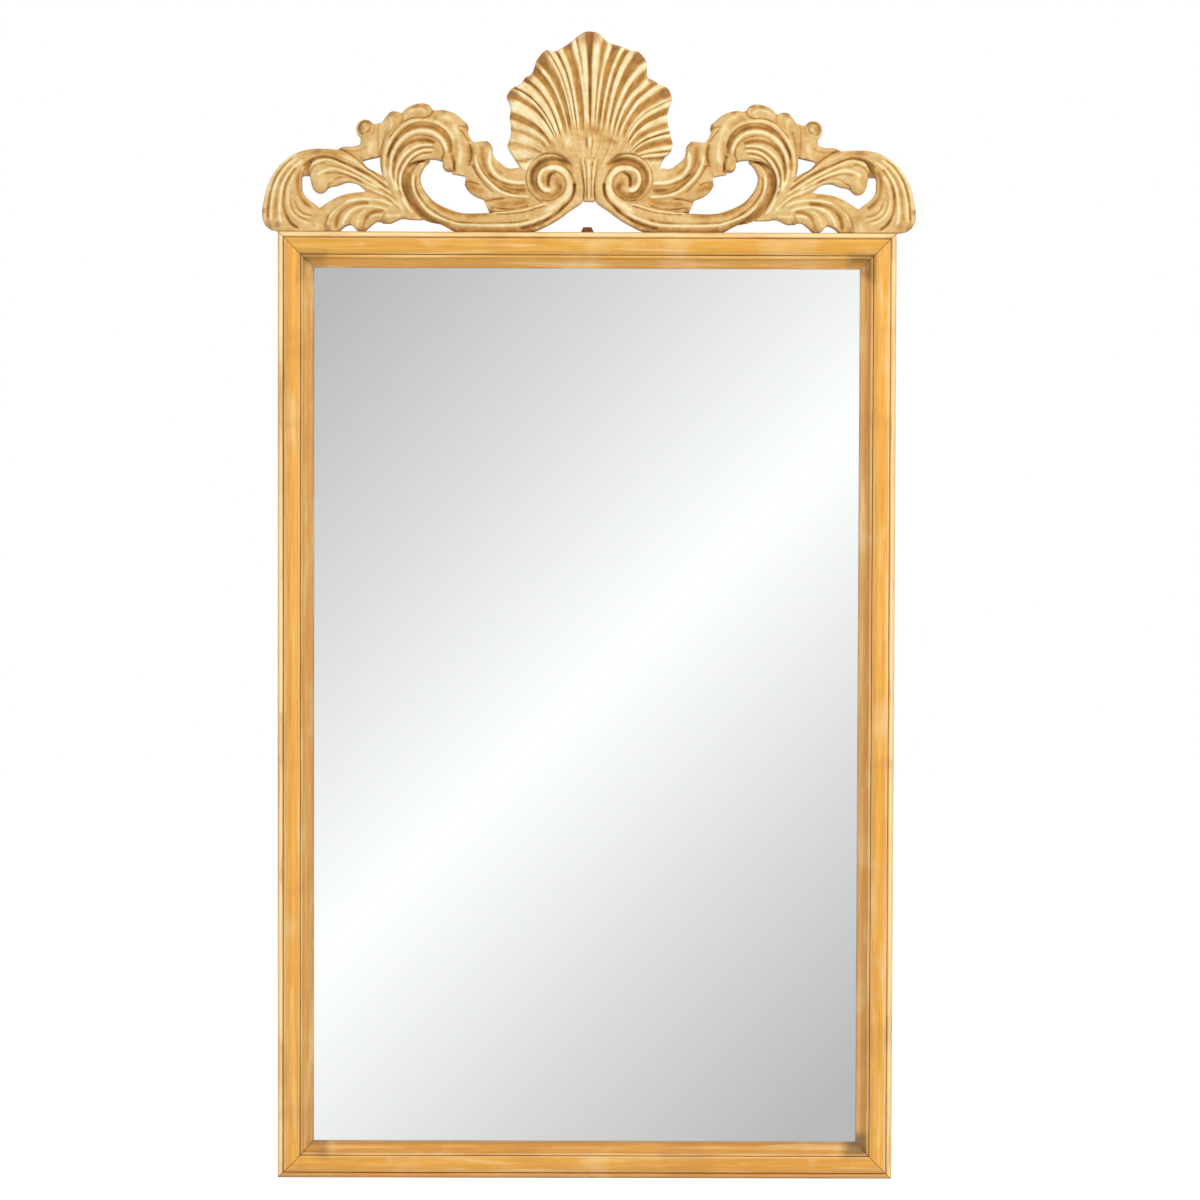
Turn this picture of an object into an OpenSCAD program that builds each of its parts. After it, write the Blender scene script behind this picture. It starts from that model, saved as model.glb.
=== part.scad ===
// Carved shell-crest wall mirror: four mitred rails with an inner slip, a mirror plate held by
// turn buttons, a carved crest standing on the top rail, and the hanging hardware on the back.
// X runs to the right, Z runs up and the front faces -Y. The wall is the plane Y = 0.
// The origin lies on the wall, level with the keyhole of the hanger plate.

/* [Frame] */
// Width over the stiles
frame_w = 672; // [620:1:740]
// Height over the rails, without the crest
frame_h = 1033; // [900:1:1200]
// Distance from the wall to the back of the frame
wall_gap = 6; // [5.5:0.5:10]
// Height of the top edge of the frame above the keyhole
top_above_keyhole = 20; // [18:0.5:24]
// Gap left open at each mitre
mitre_gap = 0.2; // [0.1:0.1:0.5]

/* [Main moulding] */
// Width of the main moulding's face
main_w = 24.5; // [22:0.5:30]
// Depth of the main moulding from its back to its crown
main_depth = 28; // [26:0.5:34]
// Radius of the bead on the outer edge
bead_r = 3; // [2:0.5:4]
// Height of the bead's centre above the back
bead_rise = 20; // [18:0.5:22]
// Width of the quirk between the bead and the face
quirk_w = 1; // [0.5:0.5:2]
// Height of the quirk's floor above the back
quirk_rise = 18; // [16:0.5:18.5]
// Radius of the crowned face
crown_r = 11; // [10:0.5:16]
// Width of the lip that laps over the slip
slip_lap = 6.5; // [5:0.5:8]
// Height of the rebate that takes the slip
slip_rebate = 13; // [12:0.5:15]

/* [Slip] */
// Width of the slip's face between the main moulding and the glass
slip_face_w = 14.5; // [12:0.5:20]
// Gap between the main moulding and the slip's fillet
slip_quirk = 0.8; // [0.4:0.2:1.2]
// Clearance of the slip in its rebate
slip_clear = 0.15; // [0.1:0.05:0.3]
// Height of the slip's fillet above the back
fillet_rise = 22; // [20:0.5:23]
// Width of the flat fillet
fillet_w = 2.6; // [2:0.2:4]
// Radius of the cove
cove_r = 8; // [6:0.5:9]
// Radius of the bead on the sight edge
sight_r = 1.5; // [1:0.25:2]
// Height of the glass rebate above the back
glass_rebate = 10; // [10:0.5:11]
// Width of the glass rebate
glass_rebate_w = 8.5; // [7:0.5:10]

/* [Mirror] */
// Gap around the mirror plate
plate_gap = 1.5; // [1:0.25:2.5]
// Thickness of the mirror plate
plate_t = 4; // [3:0.5:5]
// Thickness of the soft sheet behind the plate
sheet_t = 2; // [1:0.5:2.5]
// Gap around the back board
board_gap = 1; // [0.5:0.25:2]
// Length of a setting block
block_l = 30; // [20:1:50]

/* [Crest] */
// How far the crest stands out past the frame at each end
crest_overhang = 21; // [10:1:30]
// Height of the crest above the top rail
crest_h = 218; // [200:1:240]
// Depth of the crest from its back to its highest rib
crest_depth = 30; // [26:0.5:32]
// Glue line between two carved pieces
glue_gap = 0.3; // [0.2:0.1:0.6]
// Radius of a dowel between the rail and the crest
dowel_r = 4; // [3:0.5:5]
// Depth of a dowel in the rail and in the crest
dowel_in = 13; // [8:1:15]
// Distance of the inner dowels from the centre line
inner_dowel_x = 118; // [100:1:130]
// Distance of the outer dowels from the frame's outer edge
outer_dowel_in = 39; // [37:1:44]
// Distance of the dowels in front of the frame's back
dowel_deep = 9; // [7:0.5:11]
// Distance of the crest straps from the centre line
strap_x = 80; // [74:1:90]
// How far a crest strap reaches down the top rail
strap_down = 26; // [24:1:30]
// How far a crest strap reaches up the crest
strap_up = 48; // [46:1:54]
// Distance of a crest strap's end screws from its ends
strap_screw_end = 5.5; // [5:0.5:7]
// Distance of the strap's second lower screw from its first, and of its third from the rail
strap_screw_step = 12; // [10:1:13]

/* [Hardware] */
// Radius of a screw's shank
shank_r = 1.75; // [1.5:0.05:2]
// Length of a screw under its head
screw_l = 11; // [9:0.5:12]
// Length of a screw's point
tip_l = 3; // [2:0.5:4]
// Radius of a screw's head
head_r = 3.4; // [3:0.1:3.8]
// Height of a screw's head
head_h = 1.6; // [1.2:0.1:2]
// Clearance of a pilot hole around the screw
pilot_clear = 0.1; // [0.05:0.05:0.2]
// Thickness of the corner plates, straps and turn buttons
plate_metal_t = 1.5; // [1:0.1:2]
// Length of a corner plate's arm
corner_arm = 60; // [45:1:70]
// Width of a corner plate's arm
corner_w = 14; // [12:0.5:15]
// Distance of a corner plate from the outer edge
corner_inset = 2.5; // [2:0.5:3]
// Distance of a corner plate's outer screw from the end of its arm
corner_screw_end = 8; // [6:0.5:10]
// Distance between the two screws of an arm
corner_screw_step = 25; // [20:1:27]
// Thickness of a mitre key
key_t = 3; // [2:0.5:4]
// Length of a mitre key's short sides
key_side = 20; // [16:1:24]
// Height of the mitre keys above the back
key_rise = 11; // [10.5:0.5:13]

/* [Turn buttons] */
// Width of a turn button
button_w = 11; // [9:0.5:12]
// Lap of a closed turn button over the back board
button_lap = 7; // [5:0.5:9]
// Running clearance of a turn button on its screw
button_clear = 0.08; // [0.04:0.01:0.1]
// Gap under a turn button and under its screw's head
button_float = 0.3; // [0.2:0.05:0.4]
// Distance of the buttons of a rail from the centre line
rail_button_x = 165; // [130:1:200]
// Distance of the buttons of a stile from the middle
stile_button_z = 300; // [250:1:330]

/* [Hanging] */
// Depth of the ring pivots below the top edge
ring_drop = 290; // [270:1:310]
// Radius of the ring's wire
wire_r = 1.2; // [1:0.1:1.3]
// Radius of the ring's bow
bow_r = 8.8; // [8:0.1:9.5]
// Length of the ring's legs
leg_l = 5; // [4:0.5:8]
// Running clearance of the ring in its knuckle
ring_clear = 0.08; // [0.04:0.01:0.1]
// Gap between the hanging ring and its strap
ring_float = 0.5; // [0.3:0.1:0.8]
// Thickness of the ring strap
strap_t = 0.9; // [0.7:0.1:1]
// Width of the ring strap
strap_w = 10; // [8:0.5:11]
// Length of the ring strap below its pivot
strap_l = 50; // [46:1:60]
// Distance of the ring strap's lower screw from its lower end
ring_screw_end = 6; // [5:0.5:8]
// Distance between the ring strap's screws
ring_screw_step = 17; // [12:1:20]
// Distance of the ring strap from the outer edge
ring_inset = 13; // [12:0.5:14]
// Radius of the keyhole's round end
keyhole_r = 4.5; // [4:0.1:5]
// Width of the keyhole's slot
keyhole_slot = 4.2; // [3.8:0.1:4.4]
// Travel from the round end to the top of the slot
keyhole_travel = 8; // [6:0.5:9]
// Depth of the pocket in the rail behind the keyhole
keyhole_depth = 7; // [5:0.5:8]
// Room around the keyhole in that pocket
keyhole_room = 1; // [0.5:0.25:1.5]
// Thickness of the hanger plate
hanger_t = 2; // [1.5:0.1:2.5]
// Height of the hanger plate's wings above and below the keyhole's centre
hanger_half = 8; // [7:0.5:10]
// Width of the hanger plate across its screws
hanger_w = 46; // [42:1:60]
// Height of the hanger plate's tip above the top rail
tip_h = 6.5; // [4:0.5:9]
// Width of the tip at the top rail
tip_base_w = 15; // [12:0.5:18]
// Width of the tip at its top
tip_top_w = 9; // [7:0.5:11]
// Radius of a wall bumper
bumper_r = 7; // [6:0.5:8]
// Height of the bumpers above the bottom edge
bumper_up = 88; // [80:1:120]

/* [Hidden] */
$fn = 48;
face_w = main_w + slip_face_w;
slip_from = main_w - slip_lap + slip_clear;
rebate_from = face_w - glass_rebate_w;
board_t = glass_rebate - plate_t - sheet_t;
rail_top_z = top_above_keyhole;
mid_z = rail_top_z - frame_h / 2;
bottom_z = rail_top_z - frame_h;
back_y = -wall_gap;
plate_w = frame_w - 2 * (rebate_from + plate_gap);
plate_h = frame_h - 2 * (rebate_from + plate_gap);
board_w = frame_w - 2 * (rebate_from + board_gap);
board_h = frame_h - 2 * (rebate_from + board_gap);
screw_in = main_w - slip_lap / 2;
outer_dowel_x = frame_w / 2 - outer_dowel_in;
button_long = rebate_from + board_gap - screw_in + button_lap;
ring_x = frame_w / 2 - ring_inset;
ring_z = rail_top_z - ring_drop;
knuckle_r = wire_r + ring_clear + strap_t;
ring_y = back_y + strap_t + wire_r + ring_float;

pine = "#d9a65a";
carved_pine = "#dcb374";
steel = "#a8a39a";
bronze = "#8b6238";

// Profiles, drawn with the outer edge at zero, the inner edge to the left and the front up.

module main_profile() {
    mirror([1, 0]) difference() {
        union() {
            square([main_w, quirk_rise]);
            square([2 * bead_r, bead_rise]);
            translate([bead_r, bead_rise]) circle(r = bead_r);
            intersection() {
                translate([2 * bead_r + quirk_w, 0]) square([main_w - 2 * bead_r - quirk_w, main_depth]);
                translate([bead_r + (quirk_w + main_w) / 2, main_depth - crown_r]) union() {
                    circle(r = crown_r);
                    translate([-main_w, -main_depth]) square([2 * main_w, main_depth]);
                }
            }
        }
        translate([main_w - slip_lap, -1]) square([slip_lap + 1, slip_rebate + 1]);
    }
}

module slip_profile() {
    fillet_from = main_w + slip_quirk;
    cove_from = fillet_from + fillet_w;
    sight_rise = fillet_rise - 0.5 - cove_r;
    mirror([1, 0]) difference() {
        union() {
            translate([slip_from, 0]) square([rebate_from - slip_from, slip_rebate - slip_clear]);
            translate([fillet_from, 0]) square([rebate_from - fillet_from, fillet_rise]);
            translate([fillet_from, glass_rebate])
                square([face_w - fillet_from, sight_rise - glass_rebate]);
            translate([cove_from, glass_rebate]) square([cove_r, fillet_rise - glass_rebate]);
            translate([face_w - sight_r, sight_rise]) circle(r = sight_r);
        }
        translate([cove_from + cove_r, sight_rise + cove_r]) circle(r = cove_r);
    }
}

// A length of moulding along X, mitred at both ends, with its outer edge at the top.
module mitred(length) {
    rotate([90, 0, 0]) intersection() {
        rotate([90, 0, 90]) linear_extrude(length, center = true) children();
        half = length / 2 - mitre_gap / 2 * sqrt(2);
        translate([0, 0, -1]) linear_extrude(main_depth + 2)
            polygon([[-half, 0], [half, 0], [half - face_w, -face_w], [face_w - half, -face_w]]);
    }
}

// Puts a child on one side of the frame: 0 top, 1 right, 2 bottom, 3 left.
module on_side(side) {
    reach = side % 2 == 0 ? frame_h / 2 : frame_w / 2;
    translate([0, back_y, mid_z]) rotate([0, 90 * side, 0]) translate([0, 0, reach]) children();
}

module rail_stock(side) {
    length = side % 2 == 0 ? frame_w : frame_h;
    color(pine) difference() {
        on_side(side) mitred(length) main_profile();
        all_pilots();
        mitre_key_blanks(0.05);
        if (side == 0) {
            dowel_holes();
            keyhole_pocket();
        }
    }
}

module slip_stock(side) {
    length = side % 2 == 0 ? frame_w : frame_h;
    color(pine) difference() {
        on_side(side) mitred(length) slip_profile();
        all_pilots();
        if (side == 0) keyhole_pocket();
    }
}

// Triangular feathers let into the outer corners.
module mitre_key_blanks(gap) {
    for (sx = [-1, 1], end = [0, 1]) {
        corner = [sx * frame_w / 2, back_y - key_rise, end == 0 ? rail_top_z : bottom_z];
        down = end == 0 ? -1 : 1;
        side = key_side + gap;
        translate(corner) rotate([90, 0, 0])
            translate([0, 0, -gap]) linear_extrude(key_t + 2 * gap)
                polygon([[0, 0], [-sx * side, 0], [0, down * side]]);
    }
}

module mitre_keys() {
    color(pine) mitre_key_blanks(0);
}

// Mirror plate and what holds it.

module panel(width, height, from, thick) {
    translate([-width / 2, back_y - from - thick, mid_z - height / 2]) cube([width, thick, height]);
}

module mirror_plate() {
    color("#c9d2d2") panel(plate_w, plate_h, board_t + sheet_t, plate_t);
}

module soft_sheet() {
    color("#cfc6b4") panel(plate_w, plate_h, board_t, sheet_t);
}

module back_board() {
    color("#b98c58") panel(board_w, board_h, 0, board_t);
}

module setting_blocks() {
    block_y = board_t + sheet_t;
    color("#6d5a45") for (side = [0:3], s = [-1, 1]) {
        span = side % 2 == 0 ? plate_w : plate_h;
        on_side(side)
            translate([s * span / 4 - block_l / 2, -block_y - plate_t, -rebate_from - plate_gap])
                cube([block_l, plate_t, plate_gap]);
    }
}

// Screws lie along Y with the head towards the wall and its underside at zero.

module screw() {
    rotate([-90, 0, 0]) {
        difference() {
            union() {
                cylinder(h = head_h * 0.6, r = head_r);
                translate([0, 0, head_h * 0.6]) cylinder(h = head_h * 0.4, r1 = head_r, r2 = head_r * 0.7);
            }
            translate([-head_r - 1, -0.4, head_h * 0.5]) cube([2 * head_r + 2, 0.8, head_h]);
        }
        translate([0, 0, tip_l - screw_l]) cylinder(h = screw_l - tip_l, r = shank_r);
        translate([0, 0, -screw_l]) cylinder(h = tip_l, r1 = 0.3, r2 = shank_r);
    }
}

module pilot() {
    rotate([-90, 0, 0]) translate([0, 0, -screw_l - pilot_clear])
        cylinder(h = screw_l + 5, r = shank_r + pilot_clear);
}

function corner_spots() = [for (sx = [-1, 1], end = [0, 1], arm = [0, 1], k = [0, 1])
    let (edge = corner_inset + corner_w / 2, along = corner_arm - corner_screw_end - corner_screw_step * k,
        z_top = end == 0 ? rail_top_z : bottom_z, down = end == 0 ? -1 : 1,
        a = corner_inset + along, dx = arm == 0 ? a : edge, dz = arm == 0 ? edge : a)
    [sx * (frame_w / 2 - dx), back_y + plate_metal_t, z_top + down * dz]];

// Each turn button: x, z and the turn that points its long end at the board.
function button_spots() = [
    for (s = [-1, 1]) [s * rail_button_x, rail_top_z - screw_in, 0],
    for (s = [1, -1]) [frame_w / 2 - screw_in, mid_z + s * stile_button_z, 90],
    for (s = [1, -1]) [s * rail_button_x, bottom_z + screw_in, 180],
    for (s = [-1, 1]) [screw_in - frame_w / 2, mid_z + s * stile_button_z, 270]];
button_y = back_y + button_float;
function button_screw_spots() = [for (b = button_spots())
    [b[0], button_y + plate_metal_t + button_float, b[1]]];
function ring_screw_spots() = [for (s = [-1, 1], k = [0, 1])
    [s * ring_x, back_y + strap_t, ring_z - strap_l + ring_screw_end + ring_screw_step * k]];
function hanger_screw_spots() = [for (s = [-1, 1])
    [s * (hanger_w / 2 - head_r - 2), back_y + hanger_t, 0]];
function strap_screw_spots() = [for (s = [-1, 1], up = [strap_screw_end - strap_down,
    strap_screw_end + strap_screw_step - strap_down, strap_screw_step, strap_up - strap_screw_end])
    [s * strap_x, back_y + plate_metal_t, rail_top_z + up]];

module screws_at(spots) {
    color(steel) for (p = spots) translate(p) screw();
}

module all_pilots() {
    for (p = concat(corner_spots(), button_screw_spots(), ring_screw_spots(),
        hanger_screw_spots(), strap_screw_spots())) translate(p) pilot();
}

module turn_button(number) {
    spot = button_spots()[number - 1];
    half = button_w / 2;
    color(steel) translate([spot[0], button_y, spot[1]]) rotate([0, spot[2], 0])
        rotate([90, 0, 0]) translate([0, 0, -plate_metal_t]) difference() {
            linear_extrude(plate_metal_t) union() {
                translate([-half, half - button_long]) square([button_w, button_long - half + 1]);
                translate([0, half - button_long]) circle(r = half);
                translate([0, 1]) circle(r = half);
            }
            translate([0, 0, -1]) cylinder(h = plate_metal_t + 2, r = shank_r + button_clear);
        }
}

module corner_plate(number) {
    sx = number % 2 == 1 ? -1 : 1;
    top = number <= 2;
    spots = corner_spots();
    color(steel) difference() {
        translate([sx * (frame_w / 2 - corner_inset), back_y,
            top ? rail_top_z - corner_inset : bottom_z + corner_inset])
            rotate([90, 0, 0]) translate([0, 0, -plate_metal_t]) linear_extrude(plate_metal_t)
                mirror([sx > 0 ? 1 : 0, 0]) mirror([0, top ? 1 : 0]) union() {
                    square([corner_arm, corner_w]);
                    square([corner_w, corner_arm]);
                }
        for (p = spots) translate(p) pilot();
    }
}

// Hanging hardware on the back.

module ring_strap(side) {
    color(steel) translate([side * ring_x, 0, ring_z]) difference() {
        union() {
            translate([-strap_w / 2, back_y, -strap_l + strap_w / 2])
                cube([strap_w, strap_t, strap_l - strap_w / 2 + 1]);
            translate([0, back_y + strap_t, -strap_l + strap_w / 2]) rotate([90, 0, 0])
                cylinder(h = strap_t, r = strap_w / 2);
            translate([0, ring_y, 0]) rotate([0, 90, 0])
                cylinder(h = strap_w - 1, r = knuckle_r, center = true);
            translate([0.5 - strap_w / 2, back_y, -1]) cube([strap_w - 1, ring_y - back_y, 2]);
        }
        translate([0, ring_y, 0]) rotate([0, 90, 0])
            cylinder(h = strap_w + 2, r = wire_r + ring_clear, center = true);
        for (p = ring_screw_spots()) translate([-side * ring_x, 0, -ring_z]) translate(p) pilot();
    }
}

module hanging_ring(side) {
    color(steel) translate([side * ring_x, ring_y, ring_z]) {
        rotate([0, 90, 0]) cylinder(h = 2 * bow_r, r = wire_r, center = true);
        for (s = [-1, 1]) {
            translate([s * bow_r, 0, 0]) sphere(r = wire_r);
            translate([s * bow_r, 0, -leg_l]) cylinder(h = leg_l, r = wire_r);
        }
        translate([0, 0, -leg_l]) rotate([90, 0, 0]) rotate([0, 0, 180])
            rotate_extrude(angle = 180) translate([bow_r, 0]) circle(r = wire_r);
    }
}

module keyhole_slot(depth) {
    rotate([90, 0, 0]) linear_extrude(depth) union() {
        circle(r = keyhole_r);
        translate([-keyhole_slot / 2, 0]) square([keyhole_slot, keyhole_travel]);
        translate([0, keyhole_travel]) circle(r = keyhole_slot / 2);
    }
}

module keyhole_pocket() {
    room_r = keyhole_r + keyhole_room;
    translate([0, back_y + 1, 0]) rotate([90, 0, 0]) linear_extrude(keyhole_depth + 1) union() {
        circle(r = room_r);
        translate([-room_r, 0]) square([2 * room_r, keyhole_travel]);
        translate([0, keyhole_travel]) circle(r = room_r);
    }
}

module hanger_plate() {
    color(bronze) difference() {
        translate([0, back_y + hanger_t, 0]) rotate([90, 0, 0]) linear_extrude(hanger_t) union() {
            translate([-hanger_w / 2, -hanger_half]) square([hanger_w, 2 * hanger_half]);
            polygon([[-hanger_w / 4, hanger_half - 1], [hanger_w / 4, hanger_half - 1],
                [tip_base_w / 2, rail_top_z], [tip_top_w / 2, rail_top_z + tip_h],
                [-tip_top_w / 2, rail_top_z + tip_h], [-tip_base_w / 2, rail_top_z]]);
        }
        translate([0, back_y + hanger_t + 1, 0]) keyhole_slot(hanger_t + 2);
        for (p = hanger_screw_spots()) translate(p) pilot();
    }
}

module bumper(side) {
    color("#4a4038") translate([side * ring_x, 0, bottom_z + bumper_up]) rotate([90, 0, 0])
        cylinder(h = wall_gap, r = bumper_r);
}

// What fastens the crest.

module crest_strap(side) {
    color(steel) difference() {
        translate([side * strap_x - strap_w / 2, back_y, rail_top_z - strap_down])
            cube([strap_w, plate_metal_t, strap_down + strap_up]);
        for (p = strap_screw_spots()) translate(p) pilot();
    }
}

module dowel_row(radius, reach) {
    for (x = [-outer_dowel_x, -inner_dowel_x, inner_dowel_x, outer_dowel_x])
        translate([x, back_y - dowel_deep, rail_top_z - reach]) cylinder(h = 2 * reach, r = radius);
}

module dowel_holes() {
    dowel_row(dowel_r + pilot_clear, dowel_in + 0.5);
}

module crest_dowels() {
    color(pine) dowel_row(dowel_r, dowel_in);
}

// Carving. Points are [distance from the centre line, height above the rail] as drawn. The drawing
// is 30 deep, reaches out to the sweep's farthest point and up to the top of the shell's rim, and is
// set to the crest's real width, depth and height in one place, on_crest.
// A ribbon is one carved leaf, stem or band between two edges, crowned or fluted across.

function spline(points, t) =
    let (n = len(points) - 1, s = min(t * n, n - 0.0001), i = floor(s), f = s - i,
        p0 = points[max(i - 1, 0)], p1 = points[i], p2 = points[i + 1], p3 = points[min(i + 2, n)])
    (2 * p1 + (p2 - p0) * f + (2 * p0 - 5 * p1 + 4 * p2 - p3) * f * f
        + (3 * p1 - p0 - 3 * p2 + p3) * f * f * f) / 2;

// Front point of a ribbon at u along it and v across it.
function ribbon_front(edges, rise, ridges, depth, u, v) =
    let (a = spline([for (e = edges) e[0]], u), b = spline([for (e = edges) e[1]], u),
        p = a + (b - a) * v, side = abs(2 * v - 1),
        y = spline(rise, u) * (1 - 0.22 * pow(side, 4)) - depth * (1 - cos(360 * ridges * v)) / 2)
    [p[0], -y, max(p[1], 0)];

// Twice the area of the outline of a grid, positive when it runs from +X to +Z.
function turning(outline) = let (n = len(outline), parts = [for (i = [0:n - 1])
    cross(outline[i], outline[(i + 1) % n])]) parts * [for (p = parts) 1];

function reversed(list) = [for (i = [len(list) - 1:-1:0]) list[i]];

// Closed solid from a grid of front points, its flat back on the plane of the frame's back.
module relief_solid(drawn) {
    rows = len(drawn);
    first = [for (r = drawn) [r[0][0], r[0][2]]];
    last = [for (r = reversed(drawn)) let (p = r[len(r) - 1]) [p[0], p[2]]];
    grid = turning(concat(first, last)) < 0 ? drawn : [for (r = drawn) reversed(r)];
    cols = len(grid[0]);
    front = [for (r = grid, p = r) p];
    back = [for (p = front) [p[0], 0, p[2]]];
    half = rows * cols;
    function at(i, j) = i * cols + j;
    faces = concat(
        [for (i = [0:rows - 2], j = [0:cols - 2]) each
            [[at(i, j), at(i + 1, j), at(i, j + 1)], [at(i, j + 1), at(i + 1, j), at(i + 1, j + 1)]]],
        [for (i = [0:rows - 2], j = [0:cols - 2]) each
            [[half + at(i, j), half + at(i, j + 1), half + at(i + 1, j)],
             [half + at(i, j + 1), half + at(i + 1, j + 1), half + at(i + 1, j)]]],
        [for (i = [0:rows - 2]) each
            [[at(i, 0), half + at(i, 0), at(i + 1, 0)],
             [at(i + 1, 0), half + at(i, 0), half + at(i + 1, 0)],
             [at(i, cols - 1), at(i + 1, cols - 1), half + at(i, cols - 1)],
             [at(i + 1, cols - 1), half + at(i + 1, cols - 1), half + at(i, cols - 1)]]],
        [for (j = [0:cols - 2]) each
            [[at(0, j), at(0, j + 1), half + at(0, j)],
             [at(0, j + 1), half + at(0, j + 1), half + at(0, j)],
             [at(rows - 1, j), half + at(rows - 1, j), at(rows - 1, j + 1)],
             [at(rows - 1, j + 1), half + at(rows - 1, j), half + at(rows - 1, j + 1)]]]);
    polyhedron(concat(front, back), faces, convexity = 6);
}

// A ribbon and its footprint take the same steps, so that pieces cut on a footprint meet exactly.
function steps(edges) = 2 * (len(edges) - 1);

module ribbon(edges, rise, ridges, depth, cols) {
    rows = steps(edges);
    relief_solid([for (i = [0:rows]) [for (j = [0:cols])
        ribbon_front(edges, rise, ridges, depth, i / rows, j / cols)]]);
}

function footprint(edges) = let (rows = steps(edges)) concat(
    [for (i = [0:rows]) spline([for (e = edges) e[0]], i / rows)],
    [for (i = [rows:-1:0]) spline([for (e = edges) e[1]], i / rows)]);

// A swelling lobe between two points, round at both ends.
module lobe(from, to, r_from, r_to, rise_from, rise_to) {
    hull() {
        translate([from[0], -rise_from, from[1]]) dome(r_from, rise_from);
        translate([to[0], -rise_to, to[1]]) dome(r_to, rise_to);
    }
}

module dome(r, rise) {
    rotate([-90, 0, 0]) cylinder(h = rise, r = r, $fn = 8);
    rotate([90, 0, 0]) cylinder(h = 2, r1 = r, r2 = r * 0.55, $fn = 8);
}

// Edges of the ribbons: pairs of points, the outer edge first.
volute = [42, 58];
volute_r = 26;
cut_depth = 60;
trim = 0.05;
bow = [[[10, 76], [21, 77]], [[6.5, 62], [20, 66]], [[5, 48], [20, 54]], [[7, 34.5], [23, 46]],
    [[13, 28.5], [28, 41]], [[20, 24], [34, 38]], [[32, 15], [45, 35]], [[46, 7], [57, 30]],
    [[62, 0.5], [72, 23.5]], [[85, 0], [90, 21.5]], [[115, 0], [115, 20]], [[143, 0], [138, 20.5]],
    [[160, 6], [155, 25.5]], [[177, 16], [168, 32]], [[189, 31], [177, 41]], [[197, 47], [183, 51]],
    [[199, 61], [184.5, 60]], [[195, 71], [182, 67]], [[187, 76], [178.5, 72]], [[180, 77], [176, 76]]];
clasp = [[[-6.5, 33.5], [6.5, 33.5]], [[-5, 48], [5, 48]], [[-7.5, 62], [7.5, 62]],
    [[-12, 74], [12, 74]], [[-15, 81], [15, 81]], [[-9, 87], [9, 87]]];
spiral = [[42, 45], [49, 44.5], [55, 49], [57.5, 57], [55, 65.5], [49, 70.5], [41, 72.5], [32, 71],
    [24, 66], [18.5, 58], [16.5, 49], [18, 41], [23, 33]];
hook = [[[50, 42], [50, 74]], [[75, 44], [76, 70]], [[90, 43], [88, 69]], [[105, 47], [96, 74]],
    [[116, 56], [103, 80]], [[123, 68], [105.5, 87]], [[127, 82], [106, 93]], [[128, 97], [111, 98.5]]];
under_leaf = [[[50, 33], [50, 46]], [[80, 36.5], [80, 46]], [[98, 38], [100, 49]],
    [[112, 38.5], [113, 56]], [[124, 43], [122, 68]], [[132, 48], [129, 73]], [[136, 53], [134, 66]]];
last_leaf = [[[47, 28], [48, 40]], [[75, 22.5], [78, 38]], [[92, 21.5], [95, 39]],
    [[106, 21], [110, 38]]];
fall = [[[158, 122], [134, 113]], [[156, 106], [131, 104]], [[154, 92], [127, 97]],
    [[152.5, 80], [124, 86]], [[151, 70], [125, 74]], [[150, 63], [135, 60.5]]];
head = [[[199, 13.5], [183, 18]], [[209, 28], [194, 38]], [[218, 46], [200, 52]],
    [[226, 62], [200, 66]], [[228, 80], [195, 72]], [[224, 98], [189, 74.5]],
    [[214, 112], [183, 75.5]], [[200, 120], [178, 76.5]], [[184, 124], [172, 78]],
    [[168, 121.5], [167, 78]], [[155, 113], [162, 77]], [[148, 102], [158.5, 75.5]],
    [[145, 90], [156, 73]]];
cap = [[[227, 117], [225, 92]], [[222, 124.5], [220, 102]], [[216, 130], [213, 108]],
    [[209, 130], [206, 112]], [[204.5, 128.5], [200, 115]], [[199, 134], [195, 117]],
    [[190, 138], [188, 119]], [[181, 139], [182, 120]], [[174, 136.5], [175, 120]],
    [[170, 131.5], [170, 119]], [[160, 132], [163, 116]], [[150, 129.5], [156, 111]],
    [[142, 125], [151, 105]], [[136, 119], [147, 99]], [[131.5, 113], [143, 92]]];
sweep = [[[208, 46], [204, 30]], [[222, 58], [217, 42]], [[233, 64.5], [230, 53]],
    [[242, 69.5], [240, 57]], [[251, 79.5], [251, 66]],
    [[261, 85], [261, 70]], [[276, 88.5], [276, 77.5]], [[292, 89.5], [290, 80.5]],
    [[307, 88.5], [301, 78]], [[321, 84], [309, 70]], [[334, 75], [313.5, 60]], [[344, 63], [314, 52]],
    [[351, 49], [313, 43]], [[355, 33], [307, 34.5]], [[357, 18], [300, 27]], [[352, 5], [294, 17]],
    [[338, 0], [291, 8]], [[314, 0], [288, 0]]];
inner_leaf = [[[204, 34], [202, 24]], [[216, 46], [213, 30]], [[230, 56], [228, 38]],
    [[244, 65], [243, 44]], [[258, 70], [253, 51.5]], [[272, 77], [264, 53.5]],
    [[286, 80], [275, 50]], [[299, 77.5], [284, 48]], [[306, 69], [288, 44.5]],
    [[304.5, 58], [290.5, 42.5]], [[303, 50], [294, 41.5]]];
low_leaf = [[[203, 30], [199, 14]], [[216, 38], [206, 14]], [[232, 44.5], [218, 9]],
    [[247, 43], [231, 11]], [[261, 41.5], [239, 6]], [[272, 38.5], [246, 0]], [[281, 34], [253, 1]],
    [[288, 30], [260, 7.5]], [[295, 24], [268, 5]], [[300, 14], [275, 0]], [[304, 3], [292, 0]]];
bud_stem = [[[248, 77], [228, 81.5]], [[249.5, 86], [226.5, 84]], [[250, 95], [225, 98]],
    [[249, 104], [225, 110]], [[246, 113], [227, 119]]];
leaflet = [[[277, 87.5], [264, 76]], [[269, 92], [254, 76]], [[258, 92.5], [245, 80]],
    [[248, 95], [236, 82]]];

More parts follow.
